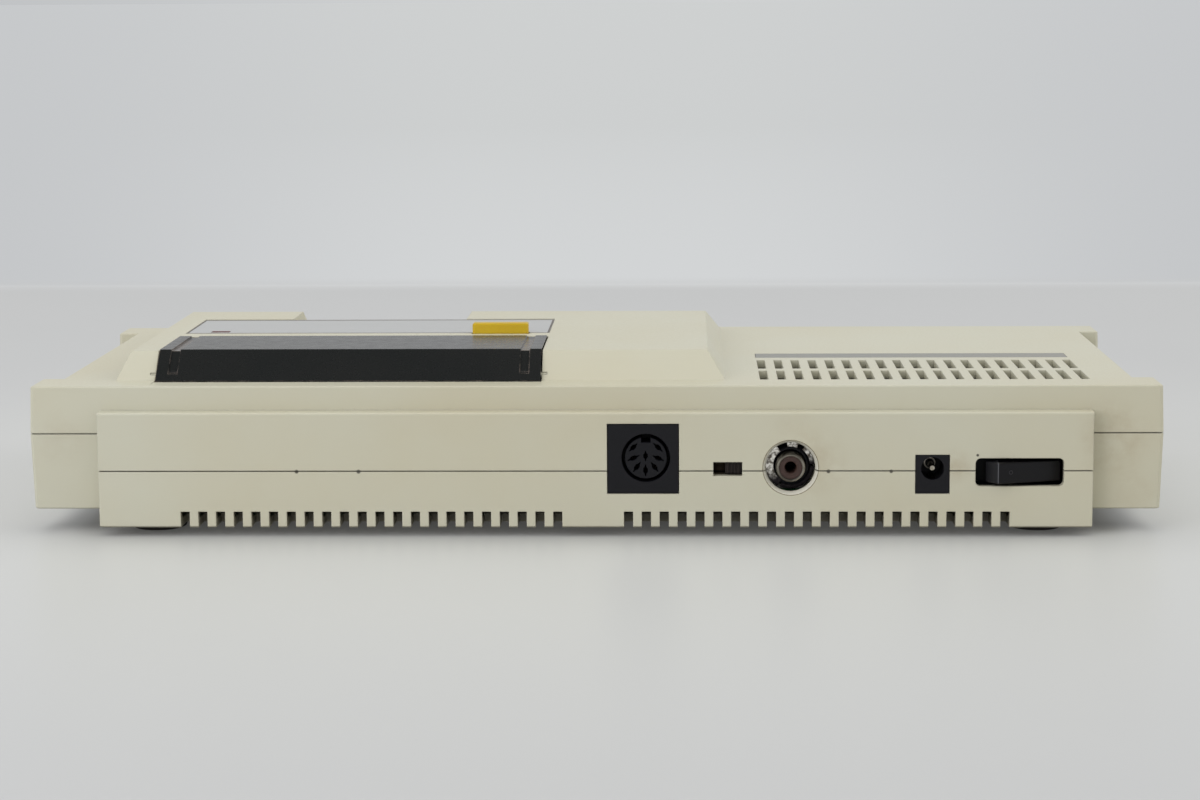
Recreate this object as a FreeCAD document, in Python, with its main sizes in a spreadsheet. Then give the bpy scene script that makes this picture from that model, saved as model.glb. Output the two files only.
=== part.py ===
import FreeCAD, Part
import os
import re
import Sketcher
from FreeCAD import Placement, Rotation, Vector

# A video game console of the 1980s, in millimetres. +Z is up, the rear connectors face +Y, and the
# table is at Z 0. X 0 is the middle of the case, and Y 0 is the middle of its whole depth.

SIZES = {
    # The two-shell case
    "case_width": 318,
    "case_depth": 140,
    "front_y": -74.02,
    "base_z": 2.6,
    "flank_z": 6.92,
    "split_z": 28.48,
    "top_z": 41.87,
    "wall": 2.4,
    "draft": 1.6,
    "edge_round": 0.8,
    "small_round": 0.4,
    "parting_gap": 0.3,
    "lip": 1.0,
    "lip_rise": 1.4,
    "rear_ear": 16.9,
    "front_ear": 16.2,
    "dock_depth": 5.93,
    # Clearances: seated pieces, pieces that move, and pins that turn
    "fit_gap": 0.15,
    "move_gap": 0.3,
    "run_gap": 0.08,
    # The connector bay across the back
    "bay_in": 20.1,
    "bay_out": 5,
    "bay_split_z": 18.6,
    "bay_top_z": 35.08,
    "bay_round": 0.6,
    "deck_edge": 0.3,
    "vent_start": 8.63,
    "vent_pitch": 4.99,
    "vent_width": 2.55,
    "vent_side": 21,
    "vent_top_z": 7.1,
    "vent_run": 9,
    # The raised deck
    "deck_right_in": 21.8,
    "deck_width": 175,
    "deck_height": 7.67,
    "deck_left_run": 5.6,
    "deck_right_run": 3.7,
    "deck_rear_gap": 10.84,
    "deck_rear_run": 8.9,
    "deck_front_gap": 1.6,
    "deck_front_run": 19.4,
    # The vent grille and the band in front of it
    "grille_in": 9.2,
    "grille_side": 11,
    "grille_pitch": 5.04,
    "grille_slot": 2.4,
    "grille_length": 18.6,
    "grille_gap": 4.5,
    "grille_rear": 12.9,
    "band_gap": 6,
    "band_depth": 9.3,
    "band_thick": 0.4,
    # The cartridge door
    "door_in": 12,
    "door_width": 109.9,
    "door_depth": 32,
    "door_thick": 2,
    "door_proud": 0.4,
    "door_lift": 0.1,
    "groove_width": 2.6,
    "groove_in": 3.4,
    "groove_deep": 0.5,
    "groove_drop": 6.2,
    "hinge_in": 3.7,
    "hinge_up": 1.0,
    "pin_radius": 1.0,
    "pin_reach": 1.7,
    "knuckle_radius": 1.85,
    "knuckle_length": 9,
    # The well, the chute and the finger recess under and behind the door
    "well_drop": 5.37,
    "well_wall": 2,
    "well_ledge": 2,
    "recess_depth": 5.8,
    "recess_deep": 0.1,
    "slot_side": 2.2,
    "slot_depth": 18,
    "slot_back": 16.8,
    "chute_clear": 2.2,
    # The legend plate and the indicator
    "plate_gap": 9,
    "plate_depth": 35.8,
    "plate_thick": 0.6,
    "plate_sunk": 0.1,
    "led_in": 7.1,
    "led_width": 5.4,
    "led_depth": 3,
    "led_back": 3.5,
    "led_height": 6,
    "lead_half_pitch": 1.27,
    "lead_thick": 0.5,
    # The pause button and its switch
    "button_in": 6.1,
    "button_width": 16.8,
    "button_depth": 4.8,
    "button_back": 2,
    "button_rise": 3.1,
    "button_round": 0.5,
    "flange_out": 1.0,
    "flange_thick": 1.4,
    "button_travel": 1.8,
    "plunger_radius": 1.95,
    "switch_width": 12,
    "switch_depth": 8,
    "switch_height": 5.4,
    "switch_clear": 0.45,
    "switch_floor": 1,
    # The two small boards that hang under the deck, with their cables
    "small_board_thick": 1.6,
    "small_board_edge": 4,
    "small_board_back": 4.2,
    "switch_board_width": 20,
    "switch_board_shift": 2,
    "switch_screw_in": 17,
    "switch_screw_half": 6.5,
    "led_board_width": 18,
    "led_screw_in": 14,
    "led_screw_half": 6,
    "hanger_width": 5,
    "small_screw_radius": 1.05,
    "small_head_radius": 2.3,
    "small_head_height": 1.1,
    "small_screw_length": 6,
    "ribbon_in": 8,
    "ribbon_thick": 1,
    "switch_ribbon": 10,
    "led_ribbon": 5,
    # The card slot in front of the plate
    "notch_in": 27.7,
    "notch_width": 54.6,
    "card_width": 54.3,
    "card_slot": 3,
    "card_up": 1.13,
    "guide_wall": 2.5,
    "guide_depth": 28,
    "card_connector_depth": 8,
    "card_back_wall": 2.7,
    "riser_thick": 1.6,
    "riser_width": 56,
    "riser_foot": 3.7,
    "header_wall": 2,
    "header_height": 9,
    # The cartridge's edge connector, and the contacts of both connectors
    "contact_pitch": 2.54,
    "contact_width": 0.9,
    "contact_thick": 0.5,
    "cartridge_ways": 25,
    "card_ways": 19,
    "connector_end": 5,
    "connector_depth": 10,
    "connector_height": 13,
    "connector_floor": 3,
    "mouth_end": 1,
    "mouth_depth": 3.4,
    # The main board, its posts, and the screws and feet
    "board_side": 25,
    "board_front": 8,
    "board_rear": 3,
    "board_thick": 1.6,
    "post_height": 5.7,
    "post_in": 6,
    "post_mid_x": -8,
    "post_front_in": 12.06,
    "post_rear_in": 34.94,
    "post_radius": 3.2,
    "boss_in": 13.5,
    "boss_mid_x": 8,
    "boss_rear_in": 11.94,
    "boss_front_in": 12.06,
    "boss_radius": 4.7,
    "upper_boss_radius": 3.6,
    "boss_meet_z": 20,
    "screw_radius": 1.45,
    "screw_head_radius": 2.9,
    "screw_head_height": 2.2,
    "screw_well": 10.4,
    "screw_well_gap": 0.3,
    "screw_length": 14,
    "foot_in": 13.9,
    "foot_rear_in": 16.14,
    "foot_front_in": 18.06,
    "foot_radius": 7.8,
    # The round audio and video socket
    "face_back": 0.1,
    "av_x": -14,
    "av_width": 19.8,
    "av_height": 19.5,
    "av_depth": 15,
    "av_shift": 0.8,
    "av_rise": 0.25,
    "ring_outer": 6.8,
    "ring_inner": 5.9,
    "ring_deep": 8,
    "key_width": 2.6,
    "key_in": 1.3,
    "key_out": 0.2,
    "av_contact_radius": 0.75,
    "av_contact_ring": 3.5,
    "av_contact_up": 0.85,
    "av_contact_back": 1.5,
    # The aerial modulator with its jack
    "can_x": -49,
    "can_width": 36,
    "can_depth": 38,
    "can_height": 18,
    "jack_x": -55.1,
    "jack_up": 7.2,
    "jack_hole": 6.9,
    "jack_mouth": 7.65,
    "jack_mouth_deep": 2,
    "jack_reach": 9.3,
    "jack_radius": 4.1,
    "jack_wall": 0.6,
    "jack_bore": 1.6,
    "jack_contact_wall": 0.4,
    "jack_contact_back": 2,
    "insulator_back": 0.4,
    "washer_out": 1.65,
    "washer_thick": 0.8,
    # The channel switch
    "channel_x": -37.6,
    "channel_up": 6.85,
    "channel_slot": 8.05,
    "channel_height": 3.9,
    "channel_body": 13,
    "channel_body_height": 9,
    "channel_body_depth": 5.5,
    "channel_floor": 2,
    "channel_travel": 3,
    "slider_width": 4.4,
    "slider_height": 3,
    "slider_back": 1.3,
    # The supply inlet
    "dc_pitch": 24.15,
    "dc_width": 9.3,
    "dc_height": 10.7,
    "dc_depth": 14,
    "dc_hole_up": 6.98,
    "dc_hole_radius": 3.2,
    "dc_hole_deep": 10,
    "dc_pin_radius": 1,
    "dc_pin_back": 0.8,
    "dc_spring_width": 1.4,
    "dc_spring_thick": 0.4,
    "dc_spring_back": 1.5,
    # The power switch
    "power_in": 20.3,
    "power_up": 5.9,
    "power_opening": 24.5,
    "power_opening_height": 7.9,
    "power_opening_round": 1.5,
    "power_body_depth": 14,
    "power_side": 1.05,
    "power_ceiling": 2,
    "rocker_half": 10.3,
    "rocker_height": 5.8,
    "rocker_face": 6.4,
    "rocker_back": 1.5,
    "rocker_tilt": 17,
    "rocker_hub": 2.2,
    "hub_clear": 1,
    "pivot_in": 6,
    "pivot_radius": 1.2,
    "pivot_end": 1.2,
    # The two controller ports
    "port_x": -88,
    "port_spacing": 40,
    "port_opening": 20.5,
    "port_opening_height": 11.5,
    "port_up": 6.4,
    "port_block": 25,
    "port_block_depth": 10,
    "port_back": 4.2,
    "port_shell": 17,
    "port_shell_height": 8.2,
    "port_shell_out": 4,
    "port_shell_wall": 0.6,
    "port_slant": 1.2,
    "port_pin_radius": 0.5,
    "port_pin_out": 3.5,
    "port_pin_pitch": 2.77,
    "port_pin_row": 1.42,
    # The expansion port and its blank cover
    "expansion_x": -24,
    "expansion_width": 48,
    "expansion_height": 12,
    "expansion_up": 5.7,
    "expansion_end": 2.5,
    "expansion_back": 8.3,
    "expansion_depth": 7.7,
    "expansion_floor": 3,
    "expansion_mouth": 3,
    "expansion_wall": 2,
    "cover_back": 0.4,
    "cover_thick": 2,
    "cover_leg": 1.2,
    "cover_leg_out": 2.8,
    "cover_leg_in": 1.5,
    # What stands on the main board
    "chip_lift": 0.6,
    "chip_leg": 0.6,
    "chip_leg_in": 1,
    "crystal_round": 2,
    "sheet_thick": 0.6,
    "sink_plate": 3,
    "fin_pitch": 5.6,
    "fin_thick": 1.6,
    "tab_thick": 1.2,
    "regulator_thick": 3.3,
    "regulator_width": 10,
    "regulator_lift": 4,
    "regulator_height": 8,
    "tab_height": 14,
    "lead_pitch": 2.54,
    "lead_width": 0.8,
}

# Pieces on the main board: middle X, distance of the middle from the board's front edge, length
# along X, width along Y, height
ON_BOARD = {
    "processor_chip": (30, 24, 52, 14, 4),
    "video_chip": (-75, 44, 50, 15, 4),
    "memory_chip_low": (90, 24, 36, 14, 4),
    "memory_chip_high": (90, 46, 36, 14, 4),
    "logic_chip_low": (20, 46, 20, 6.5, 4),
    "logic_chip_high": (20, 58, 20, 6.5, 4),
    "logic_chip_left": (-24, 50, 20, 6.5, 4),
    "crystal": (-24, 74, 11, 4.6, 13),
    "shield_cover": (-75, 44, 60, 34, 8),
    "heat_sink": (-108, 86, 24, 12, 20),
}
for name, numbers in ON_BOARD.items():
    for word, number in zip(("x", "in", "length", "width", "height"), numbers):
        SIZES[f"{name}_{word}"] = number
# The electrolytic capacitors: middle X, radius, height
CAPACITORS = {
    "capacitor_large": (-84, 6.3, 16), "capacitor_left": (-98, 5, 12.5), "capacitor_far": (-112, 5, 12.5),
}
for name, numbers in CAPACITORS.items():
    for word, number in zip(("x", "radius", "height"), numbers):
        SIZES[f"{name}_{word}"] = number
SIZES["capacitor_in"] = 20.94

doc = FreeCAD.newDocument("console")
sheet = doc.addObject("Spreadsheet::Sheet", "dims")
for line, (alias, size) in enumerate(SIZES.items(), 1):
    sheet.set(f"A{line}", alias)
    sheet.set(f"B{line}", str(size))
    sheet.setAlias(f"B{line}", alias)
doc.recompute()

# How far a cutter runs past the face that it opens
OVER = 1
# Sides of the small round pieces and holes that repeat, which keeps their facets few
SIDES = 8

# Places that several pieces share, as expressions on the sheet's sizes
HALF = "(case_width / 2)"
REAR = "(front_y + case_depth)"
BAY_REAR = f"({REAR} + bay_out)"
BAY_HALF = f"({HALF} - bay_in)"
BAY_WALL = f"({BAY_REAR} - wall)"
DOCK = f"({HALF} - dock_depth)"
POWER_X = f"(power_in - {BAY_HALF})"
DC_X = f"({POWER_X} + dc_pitch)"
DECK_RIGHT = f"({HALF} - deck_right_in)"
DECK_LEFT = f"({DECK_RIGHT} - deck_width)"
DECK_TOP = "(top_z + deck_height)"
DECK_UNDER = f"({DECK_TOP} - wall)"
DECK_REAR = f"({REAR} - deck_rear_gap)"
DECK_FRONT = "(front_y + deck_front_gap)"
SLOPE = "atan(deck_height / deck_rear_run)"
DOOR_END = f"({DECK_RIGHT} - door_in)"
DOOR_X = f"({DOOR_END} - door_width)"
DOOR_MID = f"({DOOR_END} - door_width / 2)"
DOOR_FRONT = f"({DECK_REAR} - deck_rear_run - door_depth)"
DOOR_TOP = f"({DECK_TOP} + door_proud)"
HINGE_Y = f"({DECK_REAR} - hinge_in)"
HINGE_Z = "(top_z + hinge_up)"
WELL_FLOOR = "(top_z - well_drop)"
SLOT_WIDTH = "(door_width - slot_side * 2)"
SLOT_Y = f"({DOOR_FRONT} + slot_back)"
PLATE_REAR = f"({DOOR_FRONT} - plate_gap)"
PLATE_FRONT = f"({PLATE_REAR} - plate_depth)"
PLATE_TOP = f"({DECK_TOP} - plate_sunk)"
LED_X = f"({DOOR_END} - led_in - led_width / 2)"
LED_Y = f"({PLATE_REAR} - led_back - led_depth / 2)"
BUTTON_MID_X = f"({DOOR_X} + button_in + button_width / 2)"
BUTTON_MID_Y = f"({PLATE_REAR} + button_back - button_depth / 2)"
FLANGE_LOW = f"({DECK_UNDER} - fit_gap - flange_thick)"
SMALL_BOARD_TOP = f"({FLANGE_LOW} - button_travel - switch_clear - switch_height)"
SMALL_BOARD_UNDER = f"({SMALL_BOARD_TOP} - small_board_thick)"
CARD_X = f"({DOOR_X} + notch_in + notch_width / 2)"
CARD_Z = "(top_z + card_up)"
CARD_LOW = "(top_z + fit_gap)"
CARD_FRONT = f"({PLATE_FRONT} + wall)"
CARD_REAR = f"({CARD_FRONT} + guide_depth)"
RISER_FRONT = f"({CARD_REAR} + card_connector_depth)"
CARD_STOP = f"({RISER_FRONT} - card_back_wall)"
GRILLE_END = f"({DECK_LEFT} - grille_in)"
BOARD_BOTTOM = "(base_z + wall + post_height)"
BOARD_TOP = f"({BOARD_BOTTOM} + board_thick)"
BOARD_HALF = f"({HALF} - board_side)"
BOARD_FRONT = "(front_y + board_front)"
BOARD_REAR = f"({REAR} - board_rear)"
CHUTE_BOTTOM = f"({BOARD_TOP} + connector_height + chute_clear)"
SCREW_SEAT = "(base_z + screw_well)"
SOCKET_FACE = f"({BAY_REAR} - face_back)"
RING_X = "(av_x - av_shift)"
RING_Z = f"({BOARD_TOP} + av_height / 2 + av_rise)"
RING_DEEP = f"({SOCKET_FACE} - ring_deep)"
CAN_REAR = f"({BAY_REAR} - jack_reach)"
WASHER_END = f"({CAN_REAR} + washer_thick)"
JACK_Z = f"({BOARD_TOP} + jack_up)"
CHANNEL_Z = f"({BOARD_TOP} + channel_up)"
DC_HOLE_Z = f"({BOARD_TOP} + dc_hole_up)"
DC_HOLE_END = f"({SOCKET_FACE} - dc_hole_deep)"
POWER_Z = f"({BOARD_TOP} + power_up)"
PIVOT_Y = f"({BAY_REAR} - pivot_in)"
PORT_Z = f"({BOARD_TOP} + port_up)"
PORT_FACE = "(front_y + port_back + port_shell_out)"
EXPANSION_Z = f"({BOARD_TOP} + expansion_up)"

# Where the screws, posts, feet and ports stand
BOSSES = [(x, y) for x in (f"(boss_in - {HALF})", "boss_mid_x", f"({HALF} - boss_in)")
          for y in (f"({REAR} - boss_rear_in)", "(front_y + boss_front_in)")]
POSTS = [(x, y) for x in (f"(post_in - {BOARD_HALF})", "post_mid_x", f"({BOARD_HALF} - post_in)")
         for y in (f"({BOARD_REAR} - post_rear_in)", f"({BOARD_FRONT} + post_front_in)")]
FEET = [(x, y) for x in (f"(foot_in - {BAY_HALF})", f"({BAY_HALF} - foot_in)")
        for y in (f"({BAY_REAR} - foot_rear_in)", "(front_y + foot_front_in)")]
PORTS = ["(port_x - port_spacing / 2)", "(port_x + port_spacing / 2)"]
# The contacts of the round socket: one above the centre, seven on a ring
AV_WAYS = [(RING_X, f"{RING_Z} + av_contact_up")] + [
    (f"{RING_X} + av_contact_ring * cos({turn})", f"{RING_Z} + av_contact_ring * sin({turn})")
    for turn in (-90, -135, -45, 180, 0, 139, 41)]
# The two small boards: name, middle, line of the two screws, half the screws' distance, width
SMALL_BOARDS = [
    ("switch_board", f"({BUTTON_MID_X} - switch_board_shift)", f"({PLATE_REAR} - switch_screw_in)",
     "switch_screw_half", "switch_board_width"),
    ("led_board", LED_X, f"({PLATE_REAR} - led_screw_in)", "led_screw_half", "led_board_width"),
]

TURNED = {"x": Rotation(Vector(0, 1, 0), 90), "y": Rotation(Vector(1, 0, 0), -90), "z": Rotation()}


def bound(text):
    """An expression's text, with each size's name pointed at its cell in the sheet."""
    return re.sub(r"[a-z]\w*", lambda word: f"dims.{word[0]}" if word[0] in SIZES else word[0], str(text))


def value(text):
    """The number that an expression stands for."""
    found = sheet.evalExpression(bound(text))
    return float(getattr(found, "Value", found))


def near(number, text):
    """Whether a number is the value of an expression, to a hundredth."""
    return abs(number - value(text)) < 0.01


def bind(thing, paths):
    """Bind properties of an object to expressions."""
    for path, text in paths.items():
        thing.setExpression(path, bound(text))
    return thing


def at(thing, place, paths):
    """Place an object by three expressions and bind its sizes."""
    axes = {f"Placement.Base.{axis}": text for axis, text in zip("xyz", place)}
    return bind(thing, {**axes, **paths})


def block(name, xs, ys, zs):
    """A block between a low and a high expression on each axis."""
    thing = doc.addObject("Part::Box", name)
    return at(thing, (xs[0], ys[0], zs[0]), {
        "Length": f"({xs[1]}) - ({xs[0]})",
        "Width": f"({ys[1]}) - ({ys[0]})",
        "Height": f"({zs[1]}) - ({zs[0]})",
    })


def span(middle, width):
    """The low and the high expression of a width about a middle."""
    return f"{middle} - ({width}) / 2", f"{middle} + ({width}) / 2"


def grown(pair, gap):
    """A low and a high expression, each moved outwards by a gap."""
    return f"{pair[0]} - {gap}", f"{pair[1]} + {gap}"


def rod(name, start, radius, length, axis="z"):
    """A cylinder that starts at a point and runs along an axis."""
    thing = doc.addObject("Part::Cylinder", name)
    thing.Placement = Placement(Vector(), TURNED[axis])
    return at(thing, start, {"Radius": radius, "Height": length})


def peg(name, start, radius, length, axis="z"):
    """A small round piece or hole that repeats, as a prism of a few sides."""
    thing = doc.addObject("Part::Prism", name)
    thing.Polygon = SIDES
    thing.Placement = Placement(Vector(), TURNED[axis])
    return at(thing, start, {"Circumradius": radius, "Height": length})


def cone(name, start, radius, end_radius, length, axis="z"):
    """A cone frustum that starts at a point and runs along an axis."""
    thing = doc.addObject("Part::Cone", name)
    thing.Placement = Placement(Vector(), TURNED[axis])
    return at(thing, start, {"Radius1": radius, "Radius2": end_radius, "Height": length})


def joined(name, things):
    """Several shapes fused into one."""
    thing = doc.addObject("Part::MultiFuse", name)
    thing.Shapes = things
    return thing


def group(name, things):
    """Separate solids that share one sub-part."""
    thing = doc.addObject("Part::Compound", name)
    thing.Links = things
    return thing


def less(name, thing, tools):
    """A shape with the tools cut away."""
    result = doc.addObject("Part::Cut", name)
    result.Base = thing
    result.Tool = tools[0] if len(tools) == 1 else joined(f"{name}_tools", tools)
    return result


def shared(name, thing, other):
    """What two shapes have in common."""
    result = doc.addObject("Part::Common", name)
    result.Base = thing
    result.Tool = other
    return result


def softened(name, thing, size, wanted, kind="Part::Chamfer"):
    """A shape with a chamfer, or a fillet, on each edge that the test picks."""
    doc.recompute()
    amount = value(size)
    result = doc.addObject(kind, name)
    result.Base = thing
    result.Edges = [(place, amount, amount) for place, edge in enumerate(thing.Shape.Edges, 1)
                    if wanted(edge)]
    return result


def outline(part, name, plane, corners, height="0"):
    """A closed line of straight sides in one of the body's own planes, with each corner dimensioned."""
    drawing = part.newObject("Sketcher::SketchObject", name)
    own_plane = next(item for item in part.Origin.OriginFeatures if item.Role == plane)
    drawing.AttachmentSupport = (own_plane, [""])
    drawing.MapMode = "FlatFace"
    bind(drawing, {"AttachmentOffset.Base.z": height})
    points = [Vector(value(x), value(y), 0) for x, y in corners]
    for place, point in enumerate(points):
        drawing.addGeometry(Part.LineSegment(point, points[(place + 1) % len(points)]))
    for place in range(len(points)):
        following = (place + 1) % len(points)
        drawing.addConstraint(Sketcher.Constraint("Coincident", place, 2, following, 1))
    for place, (x, y) in enumerate(corners):
        for kind, text, size in (("DistanceX", x, points[place].x), ("DistanceY", y, points[place].y)):
            held = drawing.addConstraint(Sketcher.Constraint(kind, -1, 1, place, 1, size))
            bind(drawing, {f"Constraints[{held}]": text})
    return drawing


def oblong(xs, ys):
    """The four corners between a low and a high expression on two axes."""
    return [(xs[0], ys[0]), (xs[1], ys[0]), (xs[1], ys[1]), (xs[0], ys[1])]


def pad(part, name, profile, length, down=False, taper="0"):
    """A pad of a drawing, with its sides drawn in by the taper."""
    feature = part.newObject("PartDesign::Pad", name)
    feature.Profile = profile
    feature.Reversed = down
    bind(feature, {"Length": length, "TaperAngle": f"-({taper})"})
    return feature


def loft(part, name, low, high):
    """A ruled loft between two drawings."""
    feature = part.newObject("PartDesign::AdditiveLoft", name)
    feature.Profile = low
    feature.Sections = [high]
    feature.Ruled = True
    return feature


def dressed(part, name, kind, size, wanted):
    """A fillet or chamfer on the edges of the body so far that the test picks."""
    doc.recompute()
    base = part.Tip
    chosen = [f"Edge{place}" for place, edge in enumerate(base.Shape.Edges, 1) if wanted(edge)]
    feature = part.newObject(f"PartDesign::{kind}", name)
    feature.Base = (base, chosen)
    bind(feature, {"Radius" if kind == "Fillet" else "Size": size})
    return feature


def plan(inset):
    """The case's plan with its side docks, drawn in by an inset."""
    side = f"({HALF} - {inset})"
    dock = f"({DOCK} - {inset})"
    rear_ear = f"({REAR} - rear_ear + {inset})"
    front_ear = f"(front_y + front_ear - {inset})"
    right = [(side, f"({REAR} - {inset})"), (side, rear_ear), (dock, rear_ear), (dock, front_ear),
             (side, front_ear), (side, f"(front_y + {inset})")]
    return right + [(f"-{x}", y) for x, y in reversed(right)]


def deck_section(inset, share):
    """The deck's outline at a share of its height, drawn in by an inset."""
    xs = (f"{DECK_LEFT} + {inset} + deck_left_run * {share}",
          f"{DECK_RIGHT} - {inset} - deck_right_run * {share}")
    ys = (f"{DECK_FRONT} + {inset} + deck_front_run * {share}",
          f"{DECK_REAR} - {inset} - deck_rear_run * {share}")
    return oblong(xs, ys)


def upright_corner(edge):
    """Whether an edge is one of the upright corners of the case's ears."""
    return edge.BoundBox.ZLength > 5 and abs(edge.BoundBox.Center.x) > value(f"{DOCK} + 0.5")


def rear_openings(owner):
    """The openings for the rear connectors, which both shells share."""
    deep = (f"{BAY_REAR} - wall * 3", f"{BAY_REAR} + {OVER}")
    tools = [
        block(f"{owner}_av_opening", grown(span("av_x", "av_width"), "fit_gap"), deep,
              grown((BOARD_TOP, f"{BOARD_TOP} + av_height"), "fit_gap")),
        block(f"{owner}_dc_opening", grown(span(DC_X, "dc_width"), "fit_gap"), deep,
              grown((BOARD_TOP, f"{BOARD_TOP} + dc_height"), "fit_gap")),
        block(f"{owner}_channel_opening", span("channel_x", "channel_slot"), deep,
              span(CHANNEL_Z, "channel_height")),
        rod(f"{owner}_jack_opening", ("jack_x", deep[0], JACK_Z), "jack_hole", "wall * 4", "y"),
        cone(f"{owner}_jack_mouth", ("jack_x", f"{BAY_REAR} - jack_mouth_deep", JACK_Z), "jack_hole",
             f"jack_mouth + (jack_mouth - jack_hole) * {OVER} / jack_mouth_deep",
             f"jack_mouth_deep + {OVER}", "y"),
    ]
    window = block(f"{owner}_power_window", span(POWER_X, "power_opening"), deep,
                   span(POWER_Z, "power_opening_height"))
    tools.append(softened(f"{owner}_power_opening", window, "power_opening_round",
                          lambda edge: edge.BoundBox.YLength > OVER, "Part::Fillet"))
    return tools


def upper_outside():
    """The upper shell's outside: drafted walls with a raised deck and the bay's upper half."""
    shell = doc.addObject("PartDesign::Body", "upper_case_outside")
    low = "split_z + parting_gap / 2"
    walls = outline(shell, "upper_plan", "XY_Plane", plan("0"), low)
    pad(shell, "upper_walls", walls, f"top_z - ({low})", taper="draft")
    dressed(shell, "upper_corners", "Chamfer", "edge_round", upright_corner)
    dressed(shell, "upper_rim", "Chamfer", "edge_round * 0.4",
            lambda edge: near(edge.BoundBox.ZMin, "top_z"))
    foot = outline(shell, "deck_foot", "XY_Plane", deck_section("0", 0), "top_z - wall / 2")
    crown = outline(shell, "deck_crown", "XY_Plane", deck_section("0", 1), DECK_TOP)
    loft(shell, "deck", foot, crown)
    bay = outline(shell, "bay_plan", "XY_Plane",
                  oblong((f"-{BAY_HALF}", BAY_HALF),
                         (f"{REAR} - wall", BAY_REAR)), "bay_split_z + parting_gap / 2")
    pad(shell, "bay", bay, "bay_top_z - bay_split_z - parting_gap / 2")
    dressed(shell, "bay_edges", "Fillet", "bay_round",
            lambda edge: edge.BoundBox.YMin > value(f"{BAY_REAR} - 0.1")
            and near(edge.BoundBox.ZMin, "bay_top_z"))
    dressed(shell, "deck_edges", "Chamfer", "deck_edge",
            lambda edge: near(edge.BoundBox.ZMin, DECK_TOP))
    return shell


def upper_room():
    """The room inside the upper shell, up into the deck."""
    hollow = doc.addObject("PartDesign::Body", "upper_case_hollow")
    room = outline(hollow, "hollow_plan", "XY_Plane", plan("wall"), "split_z - wall")
    pad(hollow, "hollow_walls", room, "top_z - split_z")
    low_room = outline(hollow, "deck_room_foot", "XY_Plane", deck_section("wall", 0), "top_z - wall * 1.5")
    high_room = outline(hollow, "deck_room_crown", "XY_Plane", deck_section("wall", 1), DECK_UNDER)
    loft(hollow, "deck_room", low_room, high_room)
    return hollow


WELL_XS = (f"{DOOR_X} - move_gap", f"{DOOR_END} + move_gap")
WELL_YS = (f"{DOOR_FRONT} - move_gap", f"{DECK_REAR} + door_proud / sin({SLOPE}) + move_gap")


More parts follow.
